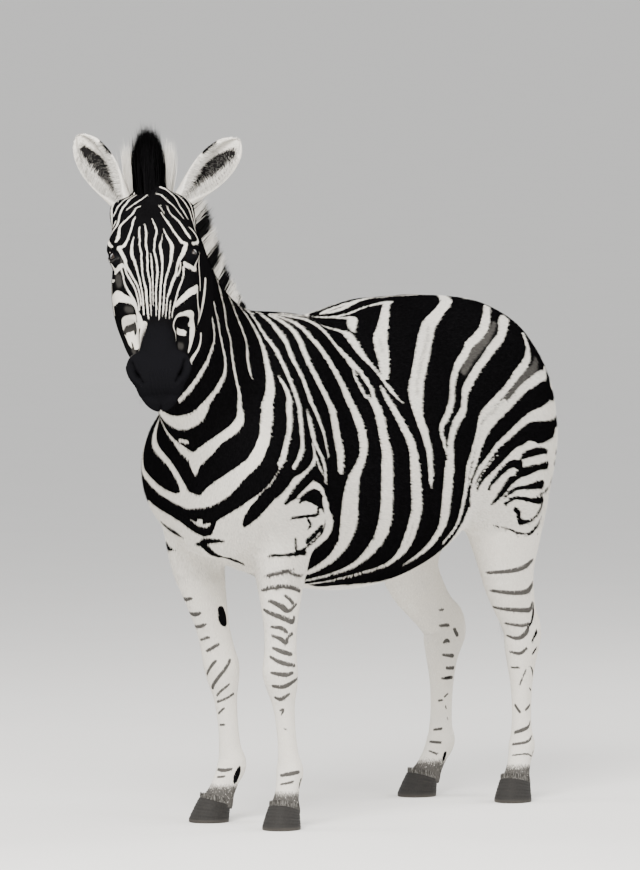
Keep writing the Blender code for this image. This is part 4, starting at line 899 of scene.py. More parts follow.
    [(-14, 24, 1.6), (-12, 24.2, 2), (-10.3, 23.9, 1.9), (-8.9, 24.7, 1.4), (-7.3, 25.5, 1),
     (-6.3, 26.3, 0.8), (-5.6, 27.5, 0.6), (-5.2, 29, 0.7), (-4.9, 30.5, 1.3), (-4.6, 32, 1.5)],
    [(-7, 30, 1.2), (-9, 30, 1.5), (-11, 30.3, 1.6), (-12.6, 31.3, 1.8), (-13.4, 33, 1.9),
     (-12.8, 35, 2.2), (-10.5, 35, 2.6), (-8.5, 34, 2.6), (-6.8, 32.5, 2)],
    [(-15, 20, 0.6), (-15.2, 24, 0.9), (-16, 27, 0.4)],
    [(12, 22.2, 0.9), (10.8, 23.2, 1.25), (9.4, 24, 1.1), (8.2, 25.2, 0.95), (7, 26.4, 0.85),
     (5.9, 27.3, 0.7), (4.95, 28, 0.4), (4.5, 29, 0.26), (4.3, 30, 0.2), (4.2, 31, 0.12)],
    [(12.3, 23.2, 0.6), (12.6, 24.6, 0.5), (13.4, 25.7, 0.5), (14.8, 26.4, 0.5), (16.2, 27.2, 0.5),
     (17.2, 28.3, 0.5), (17.6, 29.4, 0.4)],
    [(13.6, 31, 0.8), (12.6, 29.6, 0.9), (11.2, 29, 0.95), (10, 28.95, 0.8), (8.6, 29.3, 0.62),
     (7.2, 29.8, 0.48), (6.1, 30.5, 0.38), (5.3, 31.4, 0.32), (4.85, 32.3, 0.28), (4.8, 33.1, 0.26),
     (5.2, 33.8, 0.24), (5.9, 34.4, 0.2)],
    [(13.2, 30, 0.7), (14.4, 31, 0.9), (15.4, 32.2, 1.3), (16.2, 33.6, 1.6), (16.6, 35, 1.6),
     (16.8, 36.6, 1.5)],
    [(9, 32.6, 0.4), (13.3, 32.75, 0.4)],
    [(9, 33.4, 0.45), (13.4, 33.55, 0.45)],
    [(9.2, 33, 0.7), (13.2, 33.1, 0.7)],
    [(6, 34.3, 0.2), (6.3, 35.3, 0.2), (6.6, 36.3, 0.12)],
    # the throat's side of the jaw
    [(-18.8, 25, 0.8), (-18.9, 29, 1), (-19.2, 33, 1.1), (-19.4, 37, 1.1)],
    [(18.6, 18, 0.5), (18.9, 24, 0.9), (19.6, 30, 1.1), (19.8, 36, 1.1)],
    [(23, 12, 0.7), (23.5, 20, 1), (24, 28, 1.1), (24, 38, 1.1)],
    [(-23, 12, 0.7), (-23.5, 20, 1), (-24, 28, 1.1), (-24, 38, 1.1)],
    [(28, 12, 0.8), (28.4, 24, 1.2), (29, 38, 1.4)],
    [(-28, 12, 0.8), (-28.4, 24, 1.2), (-29, 38, 1.4)],
    [(14.5, 12, 0.2), (14.2, 16, 0.3), (15, 20, 0.35), (15.2, 22, 0.3)],
]

FACE_BLACK = [
    [(-6.4, 28.9, 0.3), (-6.7, 28.1, 0.5), (-7.4, 27.4, 0.8), (-8.3, 27.2, 0.9), (-9.3, 27.3, 0.95),
     (-10.4, 26.9, 1.3), (-11.6, 27, 1.4), (-13, 28.1, 1.2), (-14.6, 29.3, 1), (-15.9, 30.6, 0.9),
     (-16.4, 32, 1), (-16.6, 33.5, 1.1), (-16.7, 35, 1.2), (-17, 37, 1.2)],
    [(-8.4, 31, 0.55), (-9.6, 31.3, 0.7), (-11.2, 31.4, 0.7), (-12.9, 31.6, 0.7), (-14.2, 32, 0.42),
     (-14.4, 32.7, 0.18)],
    [(-13.4, 35, 0.25), (-13.3, 36, 0.32), (-13.2, 37.2, 0.36)],
    [(-4.15, 24, 0.12), (-4.05, 25.5, 0.12), (-4.1, 27, 0.06)],
    [(-2.45, 24.2, 0.16), (-2.5, 26, 0.18), (-2.55, 28, 0.18), (-2.6, 30, 0.18), (-2.6, 31, 0.1)],
    [(16.3, 31.3, 0.22), (15.6, 30.4, 0.45), (14.6, 29.4, 0.7), (13.5, 28.2, 0.85), (12.5, 27, 1.15),
     (11.6, 26.1, 1.35), (10.4, 26.6, 1.35), (9.2, 27, 1.05), (7.9, 27.7, 0.78), (6.8, 28.3, 0.66),
     (5.8, 29.1, 0.55), (5.1, 30.1, 0.45), (4.7, 31, 0.3), (4.4, 31.9, 0.18)],
    [(6.2, 33, 0.3), (6, 32.2, 0.5), (7.3, 31.4, 0.75), (9, 31.1, 0.8), (11, 31.2, 0.8), (12.6, 31.7, 0.65),
     (14, 32.6, 0.4), (14.6, 33.6, 0.4), (14.7, 34.8, 0.5), (14.8, 36, 0.6), (14.6, 37.3, 0.7)],
    [(9.5, 34.9, 0.75), (11.5, 34.95, 0.78), (13.5, 35.1, 0.85)],
    [(9.3, 35.4, 0.4), (9.4, 36.2, 0.25)],
    [(14.2, 35.5, 0.9), (14.1, 36.5, 0.75), (14, 37.6, 0.75)],
]

# grey over black strokes of the face, and one painted highlight below the right eye
FACE_GREY = [
    [(-8.4, 31, 0.6), (-11.2, 31.4, 0.8), (-13.4, 31.8, 0.7)],
    [(-13.4, 35, 0.4), (-13.2, 37.2, 0.5)],
    [(-8.5, 27.6, 0.5), (-7.4, 27.8, 0.4)],
    # a painted highlight: a paler streak on the black below the right eye's lower lid
    [(-8.2, 15.6, 0.4), (-7.4, 15.7, 0.4)],
    [(-9.6, 19.5, 0.8), (-9.4, 21, 0.5)],
    [(11.3, 36.6, 0.5), (12.6, 36.6, 0.5)],
]


FAR = 0.03  # marks are told no further than this from their edges


class Markings:
    """A grid of one chart with strokes laid over a base, as metres to the nearest edge between colours.

    Above nought is black, and below it white.
    """

    def __init__(self, low, high, step, base):
        self.low = np.array(low, float)
        self.step = step
        count = [int((b - a) / step) + 2 for a, b in zip(low, high)]
        self.across = low[0] + step * np.arange(count[0])
        self.down = low[1] + step * np.arange(count[1])
        u, v = np.meshgrid(self.across, self.down, indexing="ij")
        self.value = np.clip(base(u, v), -FAR, FAR)

    def gap(self, strokes, width=1.0):
        """How far each grid point lies outside the nearest stroke, with its widths scaled."""
        gap = np.full(self.value.shape, FAR)
        for stroke in strokes:
            line = along(stroke, 5) * CM * np.array([1, 1, width])
            for a, b in zip(line, line[1:]):
                reach = max(a[2], b[2]) + FAR
                first = ((np.minimum(a[:2], b[:2]) - reach - self.low) / self.step).astype(int)
                last = ((np.maximum(a[:2], b[:2]) + reach - self.low) / self.step).astype(int) + 2
                i = slice(max(first[0], 0), max(last[0], 0))
                j = slice(max(first[1], 0), max(last[1], 0))
                u, v = self.across[i, None] - a[0], self.down[None, j] - a[1]
                du, dv, grow = b - a
                t = np.clip((u * du + v * dv) / (du * du + dv * dv + 1e-12), 0, 1)
                here = np.hypot(u - t * du, v - t * dv) - a[2] - grow * t
                gap[i, j] = np.minimum(gap[i, j], here)
        return gap

    def white(self, strokes, width=1.0):
        self.value = np.minimum(self.value, self.gap(strokes, width))

    def black(self, strokes, width=1.0):
        self.value = np.maximum(self.value, -self.gap(strokes, width))

    def at(self, q):
        """The value at chart points, evenly between grid points."""
        place = (q - self.low) / self.step
        place = np.clip(place, 0, np.array(self.value.shape) - 1.001)
        i, j = place.astype(int).T
        s, t = (place - place.astype(int)).T
        low, high = (self.value[i, k] * (1 - s) + self.value[i + 1, k] * s for k in (j, j + 1))
        return low * (1 - t) + high * t


# the body is black above the belly's edge, and in front and behind above an edge that is higher up
BELLY_EDGE, FORE_EDGE, THIGH_EDGE = 0.545, 0.700, 0.790  # v
FORE_END, THIGH_START = 0.345, 0.930  # u
BELLY_LINE = 0.452  # v, below which runs the dark line under the belly


def body_base(u, v):
    """Black all over, but for the belly and the lower parts that run down into the pale legs."""
    u = np.abs(u)
    value = np.minimum(v - BELLY_EDGE, np.maximum(v - FORE_EDGE, u - FORE_END))
    value = np.minimum(value, np.maximum(v - THIGH_EDGE, THIGH_START - u))
    return np.maximum(value, BELLY_LINE - v)


def plain(value):
    """A base with one value all over."""
    return lambda u, v: np.full(u.shape, value)


def marked(chart, step, base, whites, black=(), black_width=1.0, spots=()):
    """White strokes, black ones over them, and white spots over both. Factors scale the widths."""
    made = Markings(*chart, step, base)
    for strokes, width in whites:
        made.white(strokes, width)
    made.black(black, black_width)
    if spots:
        made.white(spots)
    return made


BODY_WHITES = (NECK_WHITE, 0.75), (SIDE_WHITE, 0.85), (RUMP_WHITE, 0.79), (PALE_WHITE, 0.95)
BODY_MARKS = marked(BODY_CHART, 0.0018, body_base, BODY_WHITES, BLACK, 1.4, SPOTS_WHITE)
FACE_MARKS = marked(FACE_CHART, 0.0008, plain(FAR), [(FACE_WHITE, 0.74)], FACE_BLACK)
BODY_GREYS = marked(BODY_CHART, 0.004, plain(FAR), [(GREY, 1.0)])
FACE_GREYS = marked(FACE_CHART, 0.002, plain(FAR), [(FACE_GREY, 1.0)])


def both_sides(marks, q):
    """The marks at body points. The unseen right flank takes the left one's, mirrored and shifted."""
    u, v = q.T
    share = smooth(-u, 0.16, 0.26)
    drift = smooth(-u, 0.20, 0.40)
    other = np.column_stack([-u + 0.012 * np.sin(v / 0.07) * drift, v + 0.010 * np.sin(u / 0.11) * drift])
    return marks.at(q) * (1 - share) + marks.at(other) * share


LEG_MIDDLE = {1: 51.0, -1: 129.0}  # degrees round a left and a right leg to the middle of the side in view
LEG_WIDTH = 0.061  # one degree round a leg, in centimetres of its chart
LEG_BARS = {  # strokes of degrees round the leg from its outer side to its front, height, half width
    "fore_left": [
        [(76, 65.1, 0.25), (45, 66.3, 0.4), (18, 67.1, 0.2)],
        [(31, 65.9, 0.25), (5, 64.9, 0.3), (-21, 64.9, 0.2)],
        [(92, 61.3, 0.25), (55, 62.4, 0.45), (10, 61.6, 0.4), (-17, 60.8, 0.35)],
        [(75, 58.6, 0.3), (50, 57.2, 0.5), (29, 55.9, 0.4), (-6, 57.5, 0.3)],
        [(41, 60.0, 0.2), (12, 57.9, 0.3)],
        [(97, 56.2, 0.3), (56, 54.6, 0.5), (7, 53.0, 0.5), (-2, 54.3, 0.3)],
        [(78, 51.9, 0.25), (50, 51.6, 0.4), (29, 50.5, 0.25)],
        [(78, 49.7, 0.25), (50, 48.8, 0.4), (32, 47.8, 0.4), (24, 49.2, 0.25), (5, 50.0, 0.4)],
        [(75, 46.5, 0.25), (40, 45.4, 0.5), (7, 44.8, 0.35)],
        [(87, 44.3, 0.2), (44, 42.7, 0.45), (-7, 41.9, 0.35)],
        [(79, 40.2, 0.25), (37, 39.7, 0.5), (7, 40.1, 0.3)],
        [(81, 36.7, 0.3), (44, 36.6, 0.45), (0, 37.9, 0.35), (-35, 38.6, 0.2)],
        [(85, 33.7, 0.25), (60, 33.3, 0.4), (22, 34.6, 0.25)],
        [(72, 30.4, 0.15), (50, 30.6, 0.2), (66, 29.2, 0.15)], [(60, 25.7, 0.12), (46, 25.5, 0.15)],
        [(93, 13.5, 0.3), (53, 14.0, 0.45), (2, 14.5, 0.35)], [(88, 11.4, 0.25), (27, 12.1, 0.35)],
    ],
    "hind_left": [
        [(80, 60.7, 0.3), (36, 61.3, 0.5), (0, 62.4, 0.5), (-24, 63.6, 0.3)],
        [(81, 55.8, 0.3), (47, 55.1, 0.5), (5, 55.4, 0.6), (-35, 57.3, 0.4)],
        [(94, 51.3, 0.2), (51, 50.5, 0.5), (1, 50.3, 0.55), (-21, 52.0, 0.3)],
        [(80, 46.9, 0.2), (46, 46.2, 0.35), (15, 46.6, 0.25)],
        [(90, 43.4, 0.2), (60, 42.8, 0.4), (33, 44.3, 0.4), (20, 45.6, 0.2)],
        [(85, 39.2, 0.2), (55, 38.8, 0.3), (33, 40.1, 0.2)], [(90, 35.0, 0.15), (60, 35.0, 0.2)],
        [(30, 34.5, 0.12), (60, 30.2, 0.12)], [(88, 25.0, 0.3), (60, 23.2, 0.3)],
        [(23, 23.8, 0.3), (-25, 25.0, 0.3)],
        [(88, 17.8, 0.3), (40, 18.6, 0.4), (0, 19.4, 0.3), (-25, 20.6, 0.25)],
        [(95, 14.7, 0.2), (25, 15.4, 0.25), (-20, 16.7, 0.2)],
        [(90, 11.9, 0.2), (25, 12.3, 0.25), (-30, 11.5, 0.2)],
    ],
    "fore_right": [
        [(53, 57.6, 0.2), (75, 57.4, 0.4), (93, 57.8, 0.2)],
        [(61, 53.8, 0.2), (85, 53.5, 0.45), (103, 54.0, 0.2)],
        [(57, 50.4, 0.2), (85, 50.3, 0.35), (108, 51.0, 0.2)], [(74, 46.8, 0.2), (107, 47.6, 0.25)],
        [(91, 44.0, 0.25), (135, 45.8, 0.25)], [(68, 37.9, 0.2), (114, 41.5, 0.2)],
        [(76, 34.3, 0.35), (120, 37.6, 0.25), (166, 41.8, 0.2)], [(90, 32.3, 0.2), (154, 35.4, 0.2)],
        [(85, 30.7, 0.25), (135, 31.6, 0.2), (182, 32.8, 0.3)], [(78, 27.6, 0.2), (122, 29.1, 0.2)],
        [(78, 24.7, 0.2), (117, 24.8, 0.2)], [(67, 13.2, 0.3), (110, 13.1, 0.45), (142, 13.4, 0.3)],
        [(85, 11.4, 0.3), (120, 11.6, 0.3)],
    ],
    "hind_right": [
        [(150, 49.0, 0.2), (170, 49.2, 0.2)], [(129, 44.8, 0.25), (159, 44.9, 0.4)],
        [(185, 43.6, 0.4), (200, 42.0, 0.4)], [(136, 40.3, 0.2), (148, 40.8, 0.4), (158, 40.4, 0.2)],
        [(136, 37.0, 0.25), (187, 36.6, 0.45)], [(156, 33.5, 0.3), (207, 33.3, 0.4)],
        [(133, 30.7, 0.2), (175, 30.8, 0.4), (215, 30.8, 0.3)], [(117, 24.8, 0.2), (141, 25.0, 0.2)],
        [(152, 25.8, 0.2), (182, 26.6, 0.2)], [(164, 23.4, 0.2), (170, 22.8, 0.25)],
        [(180, 20.4, 0.15), (183, 20.0, 0.2)],
        [(95, 17.2, 0.2), (137, 17.5, 0.25)], [(85, 14.1, 0.2), (135, 13.9, 0.25)],
        [(95, 11.8, 0.2), (140, 11.0, 0.3)],
    ],
}
LEG_BLACK = {  # the same for the chestnuts, the ergots and the black marks behind the left hock
    "fore_left": [[(-30, 12.4, 0.5), (-38, 10.6, 0.7)], [(185, 54.6, 0.9), (185, 51.4, 0.9)]],
    "hind_left": [
        [(-38, 51.6, 0.6), (-27, 49.2, 0.65), (-5, 47.0, 0.45), (20, 45.6, 0.2)],
        [(-39, 47.0, 0.4), (-41, 46.6, 0.4)],
        [(-42, 44.6, 0.6), (-24, 43.8, 0.6), (8, 41.7, 0.25)],
        [(-38, 40.1, 0.35), (-12, 39.0, 0.4), (0, 38.4, 0.25)],
        [(-38, 36.6, 0.25), (-42, 36.4, 0.25)], [(10, 35.3, 0.15), (-10, 34.5, 0.3), (-35, 32.6, 0.4)],
        [(-5, 29.4, 0.25), (-30, 28.7, 0.3)], [(-34, 13.0, 0.3), (-45, 10.4, 0.6)],
    ],
    "fore_right": [
        [(176, 54.6, 1.05), (178, 52.9, 1.40), (179, 51.4, 1.20)],
        [(178, 13.6, 0.6), (182, 12.0, 1.0), (188, 10.6, 0.9)],
    ],
    "hind_right": [[(150, 30.8, 0.2), (185, 31.0, 0.3)], [(190, 11.0, 0.6), (200, 9.6, 0.6)]],
}


def leg_chart(p, name):
    """Degrees round the leg from its outer side towards its front, height, and how far off the leg is."""
    side, places, _ = LEGS[name]
    line = np.array(places, float)[::-1]
    levels = np.array(LEG_LEVELS[name[:4]])[::-1]
    x = side * np.interp(p[:, 2], levels, line[:, 0])
    y = np.interp(p[:, 2], levels, line[:, 1]) + FRONT_Y
    out, front = side * (p[:, 0] - x), -(p[:, 1] - y)
    return np.degrees(np.arctan2(front, out)), p[:, 2], np.hypot(out, front)


def leg_of(p):
    """Which of LEGS each point is nearest to, as a number."""
    near = [leg_chart(p, name)[2] for name in LEGS]
    return np.argmin(near, axis=0)


def leg_grid(strokes, side):
    """Strokes on one leg's chart, with the side in view in the middle."""
    middle = LEG_MIDDLE[side]
    made = Markings((-0.125, 0.0), (0.125, 0.72), 0.0016, plain(-FAR))
    made.black([[((a - middle) * LEG_WIDTH, z, half) for a, z, half in stroke] for stroke in strokes])
    return made


LEG_GRIDS = {
    name: [leg_grid(table[name], LEGS[name][0]) for table in (LEG_BARS, LEG_BLACK)] for name in LEGS
}
MOTTLED_TOP = 0.135  # the height up to which the feet are mottled
OWN_REACH = 88  # degrees to either side of a leg's middle that its own strokes cover


def leg_marks(p):
    """(mark, grey) on the lower legs: white, with short grey bars, and dark mottling over the hooves."""
    mark = np.full(len(p), -FAR)
    black = np.full(len(p), -FAR)
    which = leg_of(p)
    for k, name in enumerate(LEGS):
        mine = np.flatnonzero(which == k)
        side = LEGS[name][0]
        angle, height, _ = leg_chart(p[mine], name)
        other = name.replace("left", "right") if side > 0 else name.replace("right", "left")
        for leg, middle in ((other, LEG_MIDDLE[-side]), (name, LEG_MIDDLE[side])):
            turn = (angle - middle + 180) % 360 - 180
            q = np.column_stack([turn * LEG_WIDTH * CM, height])
            here = np.abs(turn) < (OWN_REACH if leg == name else 181)
            for grid, values in zip(LEG_GRIDS[leg], (mark, black)):
                values[mine[here]] = grid.at(q[here])
    above = p[:, 2] > MOTTLED_TOP
    mottled = -0.0042 + 0.0052 * smooth(MOTTLED_TOP - p[:, 2], 0, 0.06)
    mark = np.maximum(mark, np.where(above, -FAR, mottled))
    bars = mark + np.where(above, 0.0013, 0.0)
    grey = 0.62 * smooth(-black, 0.0, 0.002) * (bars > -0.002)
    return np.maximum(bars, black), grey


# bands across the buttocks: height of the middle, half width
REAR_WHITE = (
    (1.262, 0.013), (1.205, 0.012), (1.150, 0.017), (1.085, 0.013), (1.025, 0.021), (0.945, 0.030),
    (0.78, 0.125),
)
REAR_BLACK = (0.882, 0.009), (0.838, 0.007), (0.796, 0.006), (0.752, 0.004)
MID_BODY = 0.45  # what lies in front of this belongs to the forelegs, the rest to the hind legs
FORE_TOP, HIND_TOP, BELLY_TOP = 0.668, 0.70, 0.585  # below these heights the legs' own marks hold
TAIL_BARS = 0.046  # from one bar on the dock to the next


def below_body(p):
    """How far each point lies below the level where the legs' own marks begin."""
    y, z = p[:, 1] - FRONT_Y, p[:, 2]
    low = np.where(y < MID_BODY, FORE_TOP, HIND_TOP) - z
    belly = BELLY_TOP - z + 0.4 * np.maximum(y - 0.80, 0)
    return np.where((y > 0.235) & (y < 0.90), np.minimum(low, belly), low)


def between_legs(p):
    """Whether each point is on the white inner side of a leg's upper part."""
    y, z = p[:, 1] - FRONT_Y, p[:, 2]
    fore = y < MID_BODY
    inner = np.where(fore, 0.045, 0.10) - np.abs(p[:, 0])
    upper = (z < 0.80) & (z > 0.5) & (fore | (y > 0.86))
    return upper & (inner > 0) & (z < 0.62 + 0.5 * inner)


def rear_bands(p):
    """The marks of the level bands across the buttocks."""
    level = p[:, 2] + 0.12 * (np.abs(p[:, 0]) - 0.20) + 0.006 * np.sin(p[:, 0] / 0.035)
    bands = np.full(len(p), FAR)
    for middle, half in REAR_WHITE:
        bands = np.minimum(bands, np.abs(level - middle) - half)
    for middle, half in REAR_BLACK:
        bands = np.maximum(bands, half - np.abs(level - middle))
    return bands


def tail_marks(p):
    """(whether each point is on the dock, its marks there: short bars on the sides, black behind)."""
    y, z = p[:, 1] - FRONT_Y, p[:, 2]
    dock = np.array(TAIL)[5:1:-1]
    back = y - np.interp(z, dock[:, 2], dock[:, 1])
    on_dock = (back > -0.024) & (np.abs(p[:, 0] + 0.006) < 0.040) & (z < 1.178) & (y > 1.20)
    bars = 0.009 - np.abs((z - 0.86) % TAIL_BARS - TAIL_BARS / 2)
    return on_dock, np.maximum(bars, back - 0.010)


def markings(p):
    """(mark, grey, bare) at each point of the skin: mark is above nought where the hair is black."""
    q = body_chart(p)
    mark = both_sides(BODY_MARKS, q)
    grey = 0.55 * smooth(-both_sides(BODY_GREYS, q), -0.004, 0.003)
    low = below_body(p) > 0
    low_mark, low_grey = leg_marks(p)
    mark = np.where(low, low_mark, mark)
    grey = np.where(low, low_grey, grey)
    mark = np.where(between_legs(p), -FAR, mark)
    f = face_chart(p)
    u, v = f.T
    head = (on_head(p) > 0) & ((np.abs(u) < 0.222) | (v < 0.27))
    mark = np.where(head, FACE_MARKS.at(f), mark)
    grey = np.where(head, 0.24 * smooth(-FACE_GREYS.at(f), -0.008, 0.001), grey)
    edge = 0.330 + 0.078 * smooth(np.abs(u), 0.018, 0.090)
    bare = np.where(head, smooth(v - edge, -0.020, 0.014), 0)
    rear = smooth(p[:, 1] - FRONT_Y, 1.135, 1.185) * (p[:, 2] > HIND_TOP)
    mark = np.where(rear > 0, mark * (1 - rear) + rear_bands(p) * rear, mark)
    on_dock, tail_mark = tail_marks(p)
    return np.where(on_dock, tail_mark, mark), grey, bare


# ---------------------------------------------------------------- the skin

COAT_DEPTH = 0.0045  # from the solids' surface down to the skin
SHORT_DEPTH = 0.0022  # the same on face and feet
SKIN_VOXEL = 0.0098
TAIL = [  # the fleshy dock
    (0.000, 1.140, 1.195, 0.028, 0.026, 0.026),
    (0.000, 1.180, 1.215, 0.028, 0.026, 0.026),
    (-0.002, 1.262, 1.175, 0.027, 0.025, 0.025),
    (-0.006, 1.316, 1.090, 0.023, 0.021, 0.021),
    (-0.010, 1.326, 0.970, 0.018, 0.017, 0.017),
    (-0.014, 1.318, 0.850, 0.016, 0.016, 0.016),
    (-0.015, 1.315, 0.820, 0.010, 0.010, 0.010),
]


def coat_depth(p):
    short = np.maximum(smooth(on_head(p), 0, 0.05), smooth(0.60 - p[:, 2], 0, 0.15))
    return COAT_DEPTH * (1 - short) + SHORT_DEPTH * short


def hump(q, centre, size):
    """A soft bump, one at its centre."""
    return np.exp(-(((q - np.array(centre)) / np.array(size)) ** 2).sum(1))


def ridge(q, line, size):
    """One along a line of points, falling away over size."""
    best = np.full(len(q), np.inf)
    line = np.array(line)
    for a, b in zip(line[:-1], line[1:]):
        t = np.clip((q - a) @ (b - a) / ((b - a) @ (b - a)), 0, 1)
        best = np.minimum(best, ((q - a - t[:, None] * (b - a)) ** 2).sum(1))
    return np.exp(-best / size**2)


# the head's skin past its plain shape, on one side of the head's frame, in metres. A minus is a hollow.
HUMPS = (  # height, centre, size
    (0.0035, (0.086, -0.024, 0.118), (0.016, 0.020, 0.014)),  # brow
    (-0.0030, (0.088, -0.075, 0.085), (0.020, 0.018, 0.024)),  # behind the eye
    (0.0055, (0.0, -0.078, 0.519), (0.012, 0.011, 0.011)),  # middle of the upper lip
    (0.0065, (0.046, -0.076, 0.492), (0.018, 0.030, 0.026)),  # side of the upper lip
)
MOUTH = np.array([
    (0.013, -0.083, 0.5155), (0.022, -0.084, 0.5130), (0.036, -0.088, 0.5010), (0.048, -0.095, 0.478),
    (0.054, -0.102, 0.448),
])
RIDGES = (  # height, line, how far it reaches
    (0.0030, ((0.080, -0.060, 0.175), (0.070, -0.066, 0.235), (0.058, -0.066, 0.300)), 0.010),  # face's crest
    (-0.0030, ((0.062, -0.030, 0.180), (0.052, -0.025, 0.260), (0.044, -0.022, 0.330)), 0.012),
    (0.0034, ((0.056, -0.0215, 0.4260), (0.049, -0.0215, 0.4480), (0.040, -0.0270, 0.4640)), 0.0055),  # wing
    (0.0020, ((0.079, -0.045, 0.430), (0.070, -0.037, 0.462), (0.055, -0.042, 0.482)), 0.006),  # below it
    (-0.0170, ((0.070, -0.030, 0.4245), (0.0635, -0.0262, 0.445), (0.054, -0.030, 0.46)), 0.0075),  # nostril
    (-0.0090, ((0.0635, -0.0262, 0.4450), (0.0530, -0.0305, 0.4615), (0.0440, -0.0370, 0.4735)), 0.0042),
    (-0.0045, MOUTH, 0.0030),
    (0.0020, MOUTH + (0.002, 0.010, -0.002), 0.006),  # edge of the upper lip
)


def head_detail(q):
    """How far the head's skin stands out past its plain shape, in metres."""
    side = np.abs(q * np.array([1, 0, 0])) + q * np.array([0, 1, 1])
    z = q[:, 2]
    out = sum(height * hump(side, centre, size) for height, centre, size in HUMPS)
    out += sum(height * ridge(side, line, size) for height, line, size in RIDGES)
    wrinkle = smooth(z, 0.425, 0.455) * smooth(q[:, 1], -0.080, -0.060) * smooth(0.034 - side[:, 0], 0, 0.014)
    wrinkle *= smooth(0.515 - z, 0, 0.02)
    out += 0.0011 * wrinkle * np.sin(q[:, 0] / 0.00155 + 1.6 * np.sin(z / 0.014) + 0.8 * np.sin(z / 0.0051))
    folds = hump(side, (0.062, -0.075, 0.455), (0.026, 0.030, 0.032))
    out += 0.0008 * folds * np.sin((z - 0.6 * q[:, 1]) / 0.0015 + 1.5 * np.sin(q[:, 1] / 0.008))
    return out


EYE_AXIS = (0.86, 0.50, -0.10)  # the way the eye looks, in the head's frame, and along the slit inwards
EYE_SLIT = (-0.46, 0.78, 0.36)
EYE_OPEN = 0.94, 0.62, 0.46  # half the slit's angle, and its height above and below, in radians
LID_THICK = 0.0026
LID_RADIUS = {True: 0.0021, False: 0.0017}  # of the upper and the lower lid's rolled edge


def eye_frame(side):
    """Axes of the eye: the way it looks, along the slit to its inner corner, and upwards."""
    mirror = np.array([side, 1, 1])
    look = unit(np.array(EYE_AXIS) * mirror)
    slit = np.array(EYE_SLIT) * mirror
    slit = unit(slit - look * (slit @ look))
    up = np.cross(look, slit)
    if up[2] > 0:
        up = -up
    return np.array([look, slit, up]), np.array(EYE_PLACE) * mirror + 0.0006 * look


def from_eye(q):
    """How far each point of the head's frame is from the nearer eye's centre."""
    return np.minimum(*(np.linalg.norm(q - eye_frame(side)[1], axis=1) for side in (1, -1)))


def lid_edge(s):
    """Heights of the upper and the lower lid's edge at a place along the slit, in radians."""
    half, above, below = EYE_OPEN
    t = np.clip(s / half, -1, 1)
    return above * (1 - np.abs(t + 0.10 * (1 - t * t)) ** 2.2), -below * (1 - np.abs(t) ** 2.0)


def shape_lids(q, side):
    """Moves skin round the eye onto the lids, and skin in the slit behind the eyeball."""
    axes, centre = eye_frame(side)
    r = q - centre
    far = np.linalg.norm(r, axis=1)
    near = np.flatnonzero((far < 0.046) & (r @ axes[0] > -0.006))
    local = r[near] @ axes.T
    d = far[near]
    s = np.arctan2(local[:, 1], np.maximum(local[:, 0], 0.002))
    h = np.arctan2(local[:, 2], np.maximum(local[:, 0], 0.002))
    top, bottom = lid_edge(s)
    inside = np.minimum(top - h, h - bottom)
    inside = np.minimum(inside, EYE_OPEN[0] - np.abs(s))
    outside = np.maximum(-inside, 0)
    shell = EYE_RADIUS + LID_THICK + 0.0016 * np.exp(-(((outside - 0.30) / 0.16) ** 2))
    hold = 1 - smooth(outside, 0.10, 0.55)
    lid = np.maximum(d, shell) * (1 - hold) + shell * hold
    fold = 0.0016 * np.exp(-(((h - top - 0.34) / 0.06) ** 2)) * smooth(EYE_OPEN[0] - np.abs(s), 0, 0.3)
    new = np.where(inside > 0.0, np.minimum(d, EYE_RADIUS - 0.0025), lid - fold)
    q[near] = centre + r[near] * (new / d)[:, None]
    return q


def subdivided(obj, chosen):
    """Splits each chosen vertex's faces in four."""
    work = bmesh.new()
    work.from_mesh(obj.data)
    work.edges.ensure_lookup_table()
    edges = [e for e in work.edges if chosen[e.verts[0].index] and chosen[e.verts[1].index]]
    bmesh.ops.subdivide_edges(work, edges=edges, cuts=1, use_grid_fill=True)
    work.to_mesh(obj.data)
    work.free()
    obj.data.update()


def settle_skin(obj, parts, chosen=None, rounds=3):
    """Moves the chosen points along their normals until they lie under the coat."""
    for _ in range(rounds):
        p, n = coordinates(obj.data), coordinates(obj.data, "normal")
        pick = slice(None) if chosen is None else chosen
        p[pick] = onto(parts, p[pick], n[pick], 0.004, coat_depth(p[pick]))
        move_to(obj.data, p)


def ring_mesh(rings):
    """(points, faces) of a closed skin over rings, with a point in the middle of either end."""
    return closed_rings(rings, rings[0].mean(0), rings[-1].mean(0))


def tube_mesh(line, radius, around=8):
    """A round tube along a line of points."""
    line = np.array(line)
    tangent = unit(np.gradient(line, axis=0))
    side = unit(np.cross(tangent, np.array([0.3, 0.5, 0.81])))
    other = np.cross(tangent, side)
    turns = np.linspace(0, 2 * np.pi, around, endpoint=False)
    rings = [
        c + radius * (np.outer(np.cos(turns), s) + np.outer(np.sin(turns), o))
        for c, s, o in zip(line, side, other)
    ]
    return ring_mesh(rings)


def lid_line(side, upper, steps=22):
    """Points along one lid's edge, in the row frame."""
    axes, centre = eye_frame(side)
    s = np.linspace(-EYE_OPEN[0], EYE_OPEN[0], steps)
    h = lid_edge(s)[0 if upper else 1]
    local = np.column_stack([np.cos(h) * np.cos(s), np.sin(s) * np.cos(h), np.sin(h)])
    return in_world(centre + (EYE_RADIUS + 0.0013) * unit(local) @ axes, HEAD)


EAR_SKIN = 0.0020  # the ear's skin lies this far inside its solid


